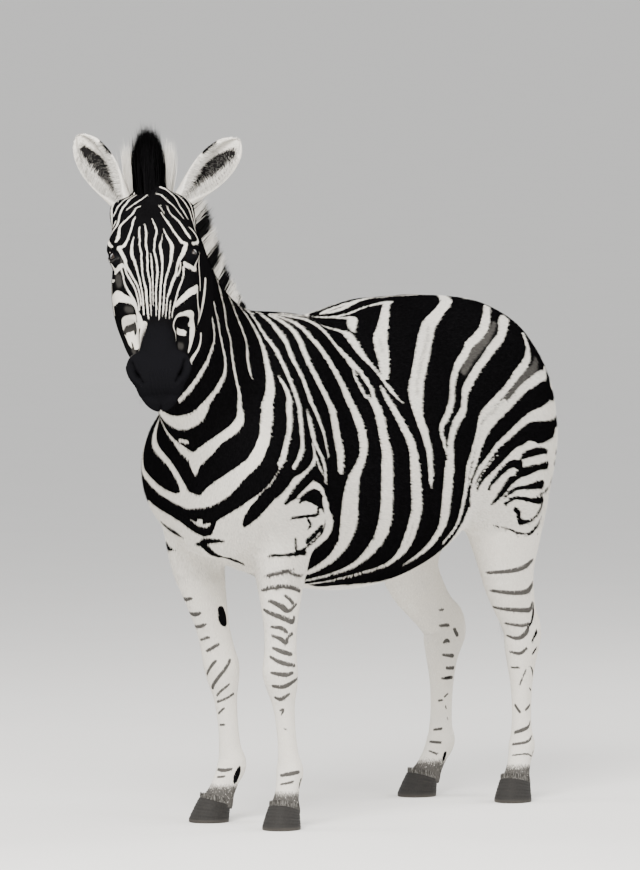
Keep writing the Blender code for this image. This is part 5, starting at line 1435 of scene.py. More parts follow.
def ear_rings(side, around=22):
    """Rings up the ear: outer face, then inner face back again."""
    rings = []
    for height, width, depth, closed in along(EAR_ROWS, 5):
        width, depth = max(width - EAR_SKIN, 0.002), max(depth - EAR_SKIN, 0.0015)
        sweep = np.radians(np.linspace(-closed, closed, around))
        outer = np.column_stack([width * np.sin(sweep), -depth * np.cos(sweep)])
        thick = min(0.0040, 0.5 * depth)
        roll = 1 - 0.35 * np.abs(np.linspace(-1, 1, around)) ** 6
        inner = np.column_stack([(width - thick) * np.sin(sweep) * roll, -(depth - thick) * np.cos(sweep)])
        ring = np.vstack([outer, inner[::-1]])
        level = np.full(len(ring), height - 0.001)
        rings.append(in_world(np.column_stack([ring, level]), ear_frame(side)))
    return rings


def ear_chart(p, side):
    """Across, the way the ear opens, and up the ear."""
    return in_frame(p, ear_frame(side))


# heights up the ear: middle of the dark cup, of the black band, and of the crescent on the inner edge
CUP_HEIGHT, BAND_HEIGHT, CRESCENT_HEIGHT = 0.080, 0.118, 0.132


def ear_marks(p, side):
    """(mark, grey): a dark cup with a pale rim, and a black band across the back that shows at the edges."""
    q = ear_chart(p, side)
    levels, widths, depths, _ = np.array(EAR_ROWS).T
    width = np.maximum(np.interp(q[:, 2], levels, widths), 0.004)
    depth = np.maximum(np.interp(q[:, 2], levels, depths), 0.004)
    size = np.hypot(q[:, 0] / width, q[:, 1] / depth)
    back = size > 1 - (0.0022 + EAR_SKIN) / np.maximum(depth, 0.008)
    out, up = -side * q[:, 0] / width, q[:, 2]
    lean = out - 0.20 - (up - CUP_HEIGHT)
    cup = 0.012 * (1 - np.hypot(lean / 0.68, (up - CUP_HEIGHT) / 0.094))
    wave = 0.003 * np.sin(q[:, 0] / 0.006)
    band = 0.034 + wave - np.abs(up - BAND_HEIGHT + 0.010 * (q[:, 0] / width) ** 2)
    crescent = np.minimum(0.024 - np.abs(up - CRESCENT_HEIGHT), 0.034 * (-out - 0.90))
    rim = np.where(out < 0, crescent, np.minimum(band, 0.030 * (out - 0.93)))
    behind = np.maximum(np.minimum(band, 0.030 * (-0.22 - q[:, 1] / depth)), crescent)
    mark = np.where(back, behind, np.maximum(cup, rim))
    return np.clip(mark, -FAR, FAR), np.where(back, 0.05, 0.06)


FINE_BEFORE, FINE_BELOW = 0.34, 0.62  # lengthways place and height


def fine_part(p, margin=0.0):
    """Whether each point is on the front of the body or on the legs, where the mesh is finer."""
    return (p[:, 1] - FRONT_Y < FINE_BEFORE + margin) | (p[:, 2] < FINE_BELOW + margin)


def skin():
    """(object, what was added, number of body points): body, ears and lids in one mesh.

    Each added piece is given by its kind, its side, its first point and the one after its last.
    """
    parts = flesh() + [Tube(from_chest(TAIL), fore=(0, -1, 0), blend=0.02, square=2.0, steps=3)]
    body = whole_body(parts)
    settle_skin(body, parts)
    subdivided(body, fine_part(coordinates(body.data)))
    settle_skin(body, parts, fine_part(coordinates(body.data), 0.02), 2)
    subdivided(body, on_head(coordinates(body.data)) > -0.004)
    chosen = on_head(coordinates(body.data)) > -0.02
    settle_skin(body, parts, chosen)
    p, n = coordinates(body.data), coordinates(body.data, "normal")
    p[chosen] += n[chosen] * head_detail(in_head(p[chosen]))[:, None]
    for side in (1, -1):
        p[chosen] = in_world(shape_lids(in_head(p[chosen]), side), HEAD)
    p[:, 2] = np.maximum(p[:, 2], hoof_top(p) - 0.007)

    points, kinds = [p], []
    faces = [tuple(f.vertices) for f in body.data.polygons]
    bpy.data.objects.remove(body)
    start = len(p)
    for side in (1, -1):
        lids = [("lid", tube_mesh(lid_line(side, upper), radius)) for upper, radius in LID_RADIUS.items()]
        for kind, (own, own_faces) in [("ear", ring_mesh(ear_rings(side))), *lids]:
            points.append(own)
            faces += [tuple(i + start for i in face) for face in own_faces]
            kinds.append((kind, side, start, start + len(own)))
            start += len(own)
    whole = new_object("skin", np.vstack(points), faces)
    soften(whole.data)
    outward(whole, len(p))
    return whole, kinds, len(p)


def hoof_top(p):
    """The height of the hoof's upper edge at each point, and nought away from the feet."""
    top = np.zeros(len(p))
    level, climb = CORONET
    for name in LEGS:
        q = in_frame(p, hoof_frame(name))
        near = (np.hypot(q[:, 0], q[:, 1]) < 0.09) & (p[:, 2] < 0.12)
        top = np.where(near, level + climb * np.clip(q[:, 1], -0.05, 0.06), top)
    return top


def outward(obj, first):
    """Turns the faces of closed parts after the first points outwards."""
    work = bmesh.new()
    work.from_mesh(obj.data)
    faces = [f for f in work.faces if f.verts[0].index >= first]
    bmesh.ops.recalc_face_normals(work, faces=faces)
    work.to_mesh(obj.data)
    work.free()


def point_value(mesh, name, values):
    values = np.asarray(values, np.float32)
    kind = "FLOAT" if values.ndim == 1 else "FLOAT_VECTOR"
    made = mesh.attributes.new(name, kind, "POINT")
    made.data.foreach_set("value" if values.ndim == 1 else "vector", values.ravel())


# ---------------------------------------------------------------- the lie of the coat


def turned(way, aim, share):
    """Each way, turned towards an aim by its share."""
    return way * (1 - share)[:, None] + np.array(aim) * share[:, None]


def lie_of(p, n):
    """The way the hair points at each place, along the skin."""
    y, z = p[:, 1] - FRONT_Y, p[:, 2]
    way = np.tile(np.array([0.0, 0.95, -0.32]), (len(p), 1))
    way = turned(way, (-0.10, 0.40, -0.90), smooth(0.18 - y, 0, 0.25) * smooth(z, 0.95, 1.15))  # neck
    way = turned(way, (0.0, 0.12, -1.0), smooth(0.80 - z, 0, 0.18))  # legs
    way = turned(way, (0.0, -0.1, -1.0), smooth(0.06 - y, 0, 0.08) * smooth(1.10 - z, 0, 0.1))  # breast
    way = turned(way, (0.0, 0.25, -1.0), smooth(y, 1.02, 1.15))  # buttocks
    q = in_head(p)
    below_poll = np.where(q[:, 2] < 0.08, -0.1 + 5 * np.maximum(q[:, 2], 0), 0.35)
    down = unit(np.column_stack([1.8 * q[:, 0], np.zeros(len(q)), below_poll])) @ HEAD[:3, :3].T
    way = turned(unit(way), down, smooth(on_head(p), -0.015, 0.015))
    way -= n * (way * n).sum(1, keepdims=True)
    return unit(way)


def grain_of(p):
    """Across and along the hair, in metres, for streaks. The third value keeps the parts' streaks apart."""
    y, z = p[:, 1] - FRONT_Y, p[:, 2]
    u, v = body_chart(p).T
    grain = np.column_stack([v + 0.3 * u, u, np.zeros(len(p))])
    for k, (here, across, length) in enumerate((
        ((y < 0.12) & (z > 1.0), u, z),
        (z < 0.72, p[:, 0] + 0.7 * p[:, 1], z),
        (on_head(p) > 0, *face_chart(p).T),
    )):
        own = np.column_stack([across, length, np.full(len(p), 0.5 * (k + 1))])
        grain = np.where(here[:, None], own, grain)
    return grain


# ---------------------------------------------------------------- hair made of blades

WHITE = np.array([0.80, 0.775, 0.72])
BLACK_HAIR = np.array([0.0030, 0.0029, 0.0032])
ASH_HAIR = np.array([0.120, 0.114, 0.106])
BARE_SKIN = np.array([0.0036, 0.0036, 0.0043])
EDGE_BLUR = 0.0007  # how far hairs stray over the edge between two colours


def tint_of(mark, grey, bare, rng):
    """The colour of hairs rooted where the marks say."""
    rough = mark + EDGE_BLUR * rng.normal(size=len(mark))
    black = (rough > 0)[:, None]
    pale = WHITE * (1 + 0.10 * rng.normal(size=(len(mark), 1))) * np.array([1, 0.995, 0.985])
    dark = BLACK_HAIR * np.exp(0.25 * rng.normal(size=(len(mark), 1)))
    ash = ASH_HAIR * np.exp(0.20 * rng.normal(size=(len(mark), 1)))
    share = grey[:, None]
    dark = dark * (1 - share) + ash * share
    only = (mark < -0.002)[:, None] & (share > 0.4)
    pale = np.where(only, pale * (1 - 0.72 * share) + ASH_HAIR * 0.6 * 0.72 * share, pale)
    hair = np.where(black, dark, pale)
    nose = BARE_SKIN * np.exp(0.3 * rng.normal(size=(len(mark), 1)))
    fade = (bare > rng.random(len(bare)))[:, None]
    return np.clip(np.where(fade, nose, hair), 0.002, 0.95)


REGIONS = {  # on the unwrap: left, bottom, width, height
    "body": (0.01, 0.46, 0.98, 0.53),
    "head": (0.01, 0.24, 0.48, 0.20),
    "ear_left": (0.51, 0.24, 0.22, 0.20),
    "ear_right": (0.76, 0.24, 0.22, 0.20),
    "fore_left": (0.01, 0.01, 0.23, 0.21),
    "fore_right": (0.26, 0.01, 0.23, 0.21),
    "hind_left": (0.51, 0.01, 0.23, 0.21),
    "hind_right": (0.76, 0.01, 0.23, 0.21),
}


def placed(name, s, t):
    left, bottom, width, height = REGIONS[name]
    return np.column_stack([left + width * np.clip(s, 0, 1), bottom + height * np.clip(t, 0, 1)])


def share_of(q, chart):
    """How far across and up its chart each point lies."""
    low, high = np.array(chart)
    return ((q - low) / (high - low)).T


def unwrap(p):
    """Each point's place on the flat map of the skin: body, head and legs have their own rectangles."""
    flat = placed("body", *share_of(body_chart(p), BODY_CHART))
    legs_top = 0.66
    which = np.where(p[:, 2] < legs_top, leg_of(p), -1)
    for k, name in enumerate(LEGS):
        angle, height, _ = leg_chart(p, name)
        on_leg = placed(name, (angle + 180) / 360, height / legs_top)
        flat = np.where((which == k)[:, None], on_leg, flat)
    face = placed("head", *share_of(face_chart(p), FACE_CHART))
    return np.where((on_head(p) > 0)[:, None], face, flat)


def ear_unwrap(p, side):
    q = ear_chart(p, side)
    turn = np.arctan2(q[:, 0], -q[:, 1])
    return placed("ear_left" if side > 0 else "ear_right", 0.5 + turn / 7, (q[:, 2] + 0.05) / 0.26)


PATCH = 0.003  # a tuft's own place on the flat map


def blades(name, root, grow, bend, side, length, width, tint, flat, facing, segments=2, tip=0.25, wave=None):
    """One mesh of tapering blades.

    grow is the way each sets out and bend how its tip leans, for one metre of length. side is the way
    across it, facing the way its shading looks, and flat its place on the flat map.
    """
    count = len(root)
    rows = 2 * segments + 1
    across = (np.cross(side, grow + 0.5 * bend) * facing).sum(1, keepdims=True)
    side = np.where(across < 0, -side, side)
    points = np.empty((count, rows, 3), np.float32)
    shade = np.empty((count, rows, 3), np.float32)
    place = np.empty((count, rows, 2), np.float32)
    colour = np.ones((count, rows, 4), np.float32)
    for i in range(segments + 1):
        t = i / segments
        centre = root + length[:, None] * (t * grow + t * t * bend)
        if wave is not None:
            centre = centre + wave * (math.sin(4.2 * t) * length)[:, None]
        half = 0.5 * width * (1 - (1 - tip if i < segments else 1) * t**1.6)
        # painted shade: each blade's tint is darkened towards its root, where hairs shade each other near the
        # skin, and brightened a little towards its tip
        dark = 0.80 + 0.28 * t
        for k, sign in enumerate((-1, 1) if i < segments else (0,)):
            points[:, 2 * i + k] = centre + sign * half[:, None] * side
            shade[:, 2 * i + k] = unit(facing + 0.45 * sign * side)
            place[:, 2 * i + k] = flat + PATCH * np.array([0.5 * sign, t - 0.5])
            colour[:, 2 * i + k, :3] = np.clip(tint * dark, 0, 0.92)
    corners = []
    for a in range(0, 2 * segments - 2, 2):
        corners += [(a, a + 1, a + 3), (a, a + 3, a + 2)]
    corners = np.array(corners + [(rows - 3, rows - 2, rows - 1)])
    index = (np.arange(count)[:, None, None] * rows + corners).reshape(-1).astype(np.int32)
    mesh = bpy.data.meshes.new(name)
    mesh.vertices.add(count * rows)
    mesh.vertices.foreach_set("co", points.ravel())
    mesh.loops.add(len(index))
    mesh.loops.foreach_set("vertex_index", index)
    mesh.polygons.add(len(index) // 3)
    mesh.polygons.foreach_set("loop_start", np.arange(0, len(index), 3, dtype=np.int32))
    soften(mesh)
    mesh.update(calc_edges=True)
    layer = mesh.uv_layers.new(name="OFBake")
    layer.data.foreach_set("uv", place.reshape(-1, 2)[index].ravel())
    tone = mesh.attributes.new("tint", "FLOAT_COLOR", "POINT")
    tone.data.foreach_set("color", colour.ravel())
    mesh.normals_split_custom_set_from_vertices(shade.reshape(-1, 3))
    return in_scene(name, mesh)


def scattered(mesh, picks, count, rng, weight=None):
    """(places, normals) spread evenly over the chosen triangles."""
    p, n = coordinates(mesh), coordinates(mesh, "normal")
    a, b, c = p[picks[:, 0]], p[picks[:, 1]], p[picks[:, 2]]
    area = 0.5 * np.linalg.norm(np.cross(b - a, c - a), axis=1)
    if weight is not None:
        area = area * weight
    edge = np.cumsum(area)
    tri = np.searchsorted(edge, (np.arange(count) + rng.random(count)) / count * edge[-1])
    tri = np.minimum(tri, len(picks) - 1)
    s, t = rng.random((2, count))
    flip = s + t > 1
    s, t = np.where(flip, 1 - s, s), np.where(flip, 1 - t, t)
    share = np.column_stack([1 - s - t, s, t])
    root = sum(share[:, [k]] * p[picks[tri, k]] for k in range(3))
    normal = sum(share[:, [k]] * n[picks[tri, k]] for k in range(3))
    return root, unit(normal)


def triangles(mesh):
    """The mesh's triangles, each as three numbers of vertices."""
    mesh.calc_loop_triangles()
    found = np.empty(len(mesh.loop_triangles) * 3, np.int32)
    mesh.loop_triangles.foreach_get("vertices", found)
    return found.reshape(-1, 3)


def fur(name, root, n, lie, length, width, lift, tint, flat, rng):
    """Short blades that lie along the skin and stand off it by lift at their tips."""
    turn = 0.16 * rng.normal(size=(len(root), 1))
    lie = unit(lie + unit(np.cross(n, lie)) * turn)
    across = unit(np.cross(n, lie))
    scale = rng.uniform(0.75, 1.2, len(root))
    length, width = length * scale, width * rng.uniform(0.7, 1.25, len(root))
    rise = (lift * rng.uniform(0.65, 1.05, len(root)) / length)[:, None]
    grow = lie + 1.5 * rise * n
    return blades(
        name, root - ROOT_DEPTH * n, grow, -0.5 * rise * n, across, length, width, tint, flat, n + 0.25 * lie
    )


ROOT_DEPTH = 0.0006  # how deep in the skin the short coat's blades begin
FACE, NECK, TRUNK, RUMP, LIMBS = range(5)
COAT = {  # region, side, blades, their length, their width, their tips' height over the skin
    "coat_face": (FACE, 0, 62000, 0.0048, 0.00085, 0.0018),
    "coat_neck_left": (NECK, 1, 46000, 0.0085, 0.0015, 0.0038),
    "coat_neck_right": (NECK, -1, 40000, 0.0085, 0.0015, 0.0038),
    "coat_trunk_left": (TRUNK, 1, 50000, 0.0098, 0.0019, 0.0040),
    "coat_trunk_right": (TRUNK, -1, 40000, 0.0098, 0.0019, 0.0040),
    "coat_rump_left": (RUMP, 1, 42000, 0.0098, 0.0019, 0.0040),
    "coat_rump_right": (RUMP, -1, 34000, 0.0098, 0.0019, 0.0040),
    "coat_legs": (LIMBS, 0, 60000, 0.0080, 0.0014, 0.0020),
}


def region_of(p):
    """Which region of the coat covers each place."""
    y, z = p[:, 1] - FRONT_Y, p[:, 2]
    region = np.full(len(p), TRUNK)
    region[y > 0.72] = RUMP
    region[(y < 0.28) & (z > 0.74)] = NECK
    region[z < np.where(y < 0.5, 0.62, 0.72)] = LIMBS
    region[(z < 0.80) & (y > 0.45) & (y < 0.90)] = TRUNK
    region[on_head(p) > 0] = FACE
    return region


def shortened(k, root, q):
    """The share of the region's full length that each hair has: less on nose, eyelids and feet."""
    if k == FACE:
        short = 1 - 0.62 * smooth(q[:, 2], 0.28, 0.42)
        return short * (1 - 0.5 * smooth(EYE_RADIUS + 0.012 - from_eye(q), 0, 0.008))
    if k == LIMBS:
        return 1 - 0.25 * smooth(0.45 - root[:, 2], 0, 0.2)
    return np.ones(len(root))


def body_coat(obj, body_points, rng):
    """The short coat over body, head and legs."""
    tris = triangles(obj.data)
    tris = tris[(tris < body_points).all(1)]
    middle = coordinates(obj.data)[tris].mean(1)
    region = region_of(middle)
    made = []
    for name, (k, half, count, length, width, lift) in COAT.items():
        mine = (region == k) & (middle[:, 0] * half >= 0)
        weight = 1 - 0.55 * smooth(in_head(middle[mine])[:, 2], 0.36, 0.42) if k == FACE else None
        root, n = scattered(obj.data, tris[mine], count, rng, weight)
        q = in_head(root)
        keep = (root[:, 2] > hoof_top(root) + 0.004) & (from_eye(q) > EYE_RADIUS + 0.0014)
        root, n, q = root[keep], n[keep], q[keep]
        lie = lie_of(root, n)
        tint = tint_of(*markings(root + 0.35 * length * lie), rng)
        short = shortened(k, root, q)
        sizes = length * short, width * short**0.5, lift * short
        made.append(fur(name, root, n, lie, *sizes, tint, unwrap(root), rng))
    return made


def ear_coat(obj, kinds, rng):
    """Short hair on the ears' backs and long pale hair inside them."""
    made = []
    tris = triangles(obj.data)
    levels, widths, _, _ = np.array(EAR_ROWS).T
    for kind, side, first, last in kinds:
        if kind != "ear":
            continue
        picks = tris[(tris >= first).all(1) & (tris < last).all(1)]
        root, n = scattered(obj.data, picks, 13000, rng)
        q = ear_chart(root, side)
        keep = q[:, 2] > -0.03
        root, n, q = root[keep], n[keep], q[keep]
        across, opens, up = ear_frame(side)[:3, :3].T
        lie = up - n * (n @ up)[:, None]
        mark, grey = ear_marks(root, side)
        tint = tint_of(mark, grey, np.zeros(len(root)), rng)
        inside = (n @ opens) > 0.1
        pick = ~inside | (rng.random(len(root)) < 0.6)
        name = "ear_left" if side > 0 else "ear_right"
        flat = ear_unwrap(root, side)
        sizes = 0.0065, 0.0010, 0.0016
        made.append(
            fur("coat_" + name, root[pick], n[pick], unit(lie[pick]), *sizes, tint[pick], flat[pick], rng)
        )
        off = q[:, 0] / np.maximum(np.interp(q[:, 2], levels, widths), 0.005)
        chance = np.where(np.abs(off) > 0.55, 0.75, 0.15) * np.where(q[:, 2] > 0.15, 0.4, 1)
        pick = inside & (rng.random(len(root)) < chance)
        root, n, off, up_ear = root[pick], n[pick], off[pick], q[pick, 2]
        inwards = -np.sign(off)[:, None] * across
        grow = unit(0.75 * inwards + 0.45 * up + 0.55 * opens + 0.15 * rng.normal(size=root.shape))
        length = 0.010 + 0.016 * np.abs(off) + 0.010 * np.maximum(-side * off, 0)
        length *= rng.uniform(0.6, 1.2, len(root))
        length *= np.interp(up_ear, (-0.03, 0.05, 0.14, 0.19), (1.1, 1.1, 0.6, 0.3))
        pale = WHITE * rng.uniform(0.55, 1.05, (len(root), 1))
        pale = np.where((np.abs(off) < 0.40)[:, None], pale * 0.16, pale)
        pale = np.where(((mark[pick] > 0) & (off * side > 0.80))[:, None], BLACK_HAIR, pale)
        width = np.full(len(root), 0.0008)
        made.append(
            blades(
                "hair_" + name, root, grow, -0.25 * n, unit(np.cross(grow, n)), length, width, pale,
                flat[pick], unit(n + 0.3 * opens), segments=3,
            )
        )
    return made


# ---------------------------------------------------------------- mane, forelock and tail


MANE_HEIGHT = 0.118  # of the mane's hair at the poll, over that at the withers
MANE_BAND = 0.215  # a black and a white band together, as a share of the mane's length
FORELOCK_LENGTH = 0.218
FORELOCK_RADIUS = 0.034
TUFT_TOP = np.array([(-0.014, 1.318 + FRONT_Y, 0.850), (-0.010, 1.325 + FRONT_Y, 0.960)])  # its roots' line
TUFT_END = 0.400  # height of the tail's lowest tips
FEELERS = 70


def all_round(count, rng):
    """Level directions, chosen evenly all round."""
    angle = rng.uniform(0, 2 * np.pi, count)
    return np.column_stack([np.cos(angle), np.sin(angle), np.zeros(count)])


def dark_tints(count, rng):
    return BLACK_HAIR * np.exp(0.3 * rng.normal(size=(count, 1)))


def mane(rng):
    """Upright hair along the crest, in bands of black and white."""
    count = 15000
    steps = 240
    spine, fore, sideways, sizes = crest(steps + 1)
    share = rng.random(count)
    i = np.minimum((share * steps).astype(int), steps - 1)
    t = (share * steps - i)[:, None]
    centre, out, across = (between(v, i, t) for v in (spine, fore, sideways))
    tangent = unit(np.gradient(spine, axis=0))[i]
    half = 0.017 - 0.006 * share
    spread = rng.uniform(-1, 1, count)
    root = centre + out * (sizes[i, 1] - 0.012)[:, None] + across * (half * spread)[:, None]
    lock = np.sin(share * 310 + 2 * np.sin(share * 47)) * 0.5 + np.sin(share * 137) * 0.5
    height = MANE_HEIGHT * (1 - share**2.5) + 0.014 + 0.008 * lock - 0.030 * np.abs(spread) ** 3
    height = np.maximum(height * rng.uniform(0.86, 1.05, count), 0.012)
    lean = (0.05 * spread)[:, None]
    grow = out + across * lean + 0.045 * rng.normal(size=(count, 3)) + tangent * 0.05
    bend = -across * (0.07 * spread)[:, None] + 0.03 * rng.normal(size=(count, 3))
    bands = 0.010 * np.sin(share * 2 * math.pi / MANE_BAND - 0.6 + 0.8 * np.sin(share * 11))
    bands = np.where(share < 0.04, 0.01, bands + 0.002) + 0.0030 * rng.normal(size=count)
    tint = tint_of(bands, np.zeros(count), np.zeros(count), rng)
    inner = (np.abs(spread) < 0.30)[:, None] & (rng.random((count, 1)) < 0.6)
    tint = np.where(inner, BLACK_HAIR * 1.5, tint)
    yaw = rng.uniform(0, math.pi, (count, 1))
    side = unit(np.cos(yaw) * tangent + 0.5 * np.sin(yaw) * across)
    facing = unit(across * np.where(spread > 0, 1, -1)[:, None] + 0.5 * out)
    width = rng.uniform(0.0013, 0.0027, count)
    return blades(
        "mane_hair", root, grow, bend, side, height, width, tint, unwrap(root), facing, segments=3, tip=0.35
    )


def forelock(rng):
    """The mane's upright end between the ears: a black column with white hair behind and at its sides."""
    count = 10500
    angle = rng.uniform(0, 2 * np.pi, count)
    r = np.sqrt(rng.random(count))
    pale = rng.random(count) < 0.15
    angle = np.where(pale, rng.choice([0.45, math.pi - 0.45], count) + 0.35 * rng.normal(size=count), angle)
    r = np.where(pale, rng.uniform(0.98, 1.22, count), r)
    x, y = r * np.cos(angle), r * np.sin(angle) - np.where(pale, 1.2, 0)
    across, front = -0.003 + FORELOCK_RADIUS * x, -0.082 + FORELOCK_RADIUS * y
    world = in_world(np.column_stack([across, front, 0.018 + 0.022 * np.maximum(y, 0)]), HEAD)
    length = (FORELOCK_LENGTH - 0.034 * r**2 * ~pale) * rng.uniform(0.86, 1.03, count)
    length = np.where(pale, 0.178 * rng.uniform(0.55, 1.05, count), length)
    grow = np.column_stack([0.13 * x, 0.02 + 0.05 * y, np.full(count, -1.0)])
    grow += 0.035 * rng.normal(size=(count, 3))
    bend = np.column_stack([-0.19 * x, -0.02 - 0.08 * y, np.zeros(count)])
    bend += 0.03 * rng.normal(size=(count, 3))
    grow[:, 0] += np.where(pale, 0.16 * np.sign(x), 0)
    bend[:, 0] += np.where(pale, 0.02 * np.sign(x), 0)
    tint = dark_tints(count, rng)
    tint = np.where(pale[:, None], WHITE * rng.uniform(0.75, 1.05, (count, 1)), tint)
    yaw = rng.uniform(0, 2 * math.pi, (count, 1))
    side = np.cos(yaw) * HEAD[:3, 0] + np.sin(yaw) * HEAD[:3, 1]
    turn = HEAD[:3, :3].T
    facing = unit(np.column_stack([x, y - 0.6, np.full(count, -0.3)]) @ turn)
    width = rng.uniform(0.0012, 0.0024, count)
    return blades(
        "forelock_hair", world, grow @ turn, bend @ turn, side, length, width, tint, unwrap(world), facing,
        segments=3, tip=0.45,
    )


def tail_hair(rng):
    """The black tuft below the dock."""
    count = 5000
    share = rng.random(count) ** 1.3
    radial = all_round(count, rng)
    root = between(TUFT_TOP, 0, share[:, None]) + radial * 0.013
    length = (root[:, 2] - TUFT_END) * rng.uniform(0.30, 1.0, count) ** 0.6
    flare = 0.085
    grow = np.array([-0.01, -0.01, -1.0]) + radial * (flare * rng.uniform(0.2, 1, (count, 1)))
    bend = -radial * (flare * rng.uniform(0.4, 1.0, (count, 1))) + np.array([-0.01, -0.045, 0])
    wave = 0.010 * rng.normal(size=(count, 3)) * np.array([1, 1, 0])
    tint = dark_tints(count, rng)
    pale = (share > 0.72) & (rng.random(count) < 0.35)
    tint = np.where(pale[:, None], WHITE * 0.7, tint)
    yaw = rng.uniform(0, 2 * math.pi, (count, 1))
    side = unit(np.cos(yaw) * np.array([1, 0, 0]) + np.sin(yaw) * np.array([0, 1, 0]))
    width = rng.uniform(0.0016, 0.0030, count)
    return blades(
        "tail_hair", root, grow, bend, side, length, width, tint, unwrap(root), unit(radial),
        segments=5, tip=0.4, wave=wave,
    )


def lashes(rng):
    """Stiff dark hairs along each upper lid, and a few feelers under the lips."""
    made = []
    for side in (1, -1):
        line = lid_line(side, True, 90)[8:82]
        axes = eye_frame(side)[0] @ HEAD[:3, :3].T
        count = len(line)
        grow = axes[0] * 0.8 + axes[2] * 0.15 + 0.12 * rng.normal(size=(count, 3))
        lift = np.tile(axes[2] * 0.35 - axes[0] * 0.1, (count, 1))
        middle = np.sin(np.linspace(0.15, math.pi - 0.15, count))
        made.append((line, unit(grow), lift, 0.016 * middle * rng.uniform(0.7, 1.1, count)))
    roots, grows, lengths = [], [], []
    for _ in range(FEELERS):
        side = rng.choice([-1, 1])
        down = rng.uniform(0.435, 0.492)
        roots.append((side * rng.uniform(0.010, 0.046), -0.098 - rng.uniform(0, 0.012), down))
        grows.append((side * rng.uniform(0.3, 0.9), -rng.uniform(0.2, 0.8), rng.uniform(0.2, 0.9)))
        lengths.append(rng.uniform(0.016, 0.034))
    turn = HEAD[:3, :3].T
    lift = np.tile(np.array([0, -0.1, 0.2]) @ turn, (FEELERS, 1))
    made.append((in_world(roots, HEAD), unit(np.array(grows)) @ turn, lift, np.array(lengths)))
    root, grow, lift, length = (np.vstack(v) if v[0].ndim == 2 else np.concatenate(v) for v in zip(*made))
    side = unit(np.cross(grow, np.array([0.2, 0.4, 0.9])))
    tint = np.tile(BLACK_HAIR, (len(root), 1))
    width = np.full(len(root), 0.0007)
    return blades("lashes", root, grow, lift, side, length, width, tint, unwrap(root), unit(grow), segments=3)


# ---------------------------------------------------------------- eyes and hooves


def eyeball(side):
    """A ball with a bulging cornea. Its own Z axis looks out of the lids."""
    work = bmesh.new()
    bmesh.ops.create_uvsphere(work, u_segments=64, v_segments=40, radius=EYE_RADIUS - 0.0002)
    mesh = bpy.data.meshes.new("eyeball_left" if side > 0 else "eyeball_right")
    work.to_mesh(mesh)
    work.free()
    p = coordinates(mesh)
    r = np.linalg.norm(p[:, [0, 1]], axis=1)
    cornea = np.where(p[:, 2] > 0, smooth(0.0125 - r, 0, 0.012), 0)
    p[:, 2] += 0.0009 * cornea
    move_to(mesh, p)
    soften(mesh)
    (look, slit, up), centre = eye_frame(side)
    turn = np.eye(4)
    turn[:3, :3] = HEAD[:3, :3] @ np.array([slit, up, look]).T
    turn[:3, 3] = in_world(centre, HEAD)
    made = in_scene(mesh.name, mesh)
    made.matrix_world = Matrix(turn.tolist())
    return made


def hoof_frame(name):
    """Matrix of a hoof on the floor: its second axis is the way the toe points."""
    side, places, turn = LEGS[name]
    yaw = math.radians(side * turn)
    x, y = places[-1]
    frame = np.eye(4)
    frame[:3, 0] = math.cos(yaw), math.sin(yaw), 0
    frame[:3, 1] = math.sin(yaw), -math.cos(yaw), 0
    frame[:3, 3] = side * x, y + FRONT_Y, 0
    return frame


CORONET = 0.050, 0.30  # the hoof's upper edge: its height at the middle, and how it climbs to the front
HEEL = 0.86  # the hoof's length behind its middle, as a share of its length before it


def hoof(name, around=72):
    """Horn with growth rings and a worn lower edge, a little flatter behind."""
    level, climb = CORONET
    angle = np.linspace(0, 2 * np.pi, around, endpoint=False)
    c, s = np.cos(angle), np.sin(angle)
    rings = []
    for share in np.concatenate([[0, 0.03], np.linspace(0.08, 1.0, 34), [1.03]]):
        half = np.interp(share, (0, 0.12, 1), (0.0478, 0.0488, 0.0400))
        length = np.interp(share, (0, 0.12, 1), (0.0558, 0.0568, 0.0430))
        forward = np.interp(share, (0.12, 1), (0.016, 0))
        groove = 0.00035 * math.sin(share * 46) + 0.0002 * math.sin(share * 21 + 1)
        worn = 0.0012 if share == 0 else 0
        heel = 1 - 0.06 * smooth(-s, 0.80, 1.0) * (1 - share)
        x = (half + groove - worn + 0.00025 * np.sin(9 * angle + 4 * share)) * c
        y = (length + groove - worn) * s * np.where(s < 0, HEEL, 1) * heel + forward
        z = min(share, 1.0) * (level - 0.0002 + climb * y) + (0.0015 if share > 1 else 0)
        if share > 1:
            x, y = x * 0.86, y * 0.86
        rings.append(in_world(np.column_stack([x, y, z]), hoof_frame(name)))
    points, faces = ring_mesh(rings)
    made = new_object(name + "_horn", points, faces)
    soften(made.data)
    outward(made, 0)
    return made


def coronet_hair(rng):
    """A fringe of hair over each hoof's upper edge."""
    roots, grows, tints = [], [], []
    level, climb = CORONET
    count = 2200
    for name in LEGS:
        frame = hoof_frame(name)
        radial = all_round(count, rng)
        c, s, _ = radial.T
        rise = rng.uniform(0.002, 0.016, count)
        x, y = 0.0375 * c, 0.0405 * s * np.where(s < 0, HEEL, 1)
        roots.append(in_world(np.column_stack([x, y, level + climb * y + rise]), frame))
        grows.append(unit(0.14 * (radial @ frame[:3, :3].T) + np.array([0, 0, -1.0])))
        pale = rng.uniform(0.14, 0.34, (count, 1)) * WHITE
        tints.append(np.where(rng.random((count, 1)) < 0.72, ASH_HAIR * 0.45, pale))
    root, grow, tint = (np.vstack(v) for v in (roots, grows, tints))
    out = unit(grow * np.array([1, 1, 0]))
    side = unit(np.cross(grow, out))
    length = rng.uniform(0.008, 0.015, len(root))
    width = np.full(len(root), 0.0011)
    return blades("coronet_hair", root, grow, -0.10 * out, side, length, width, tint, unwrap(root), out)


# ---------------------------------------------------------------- materials


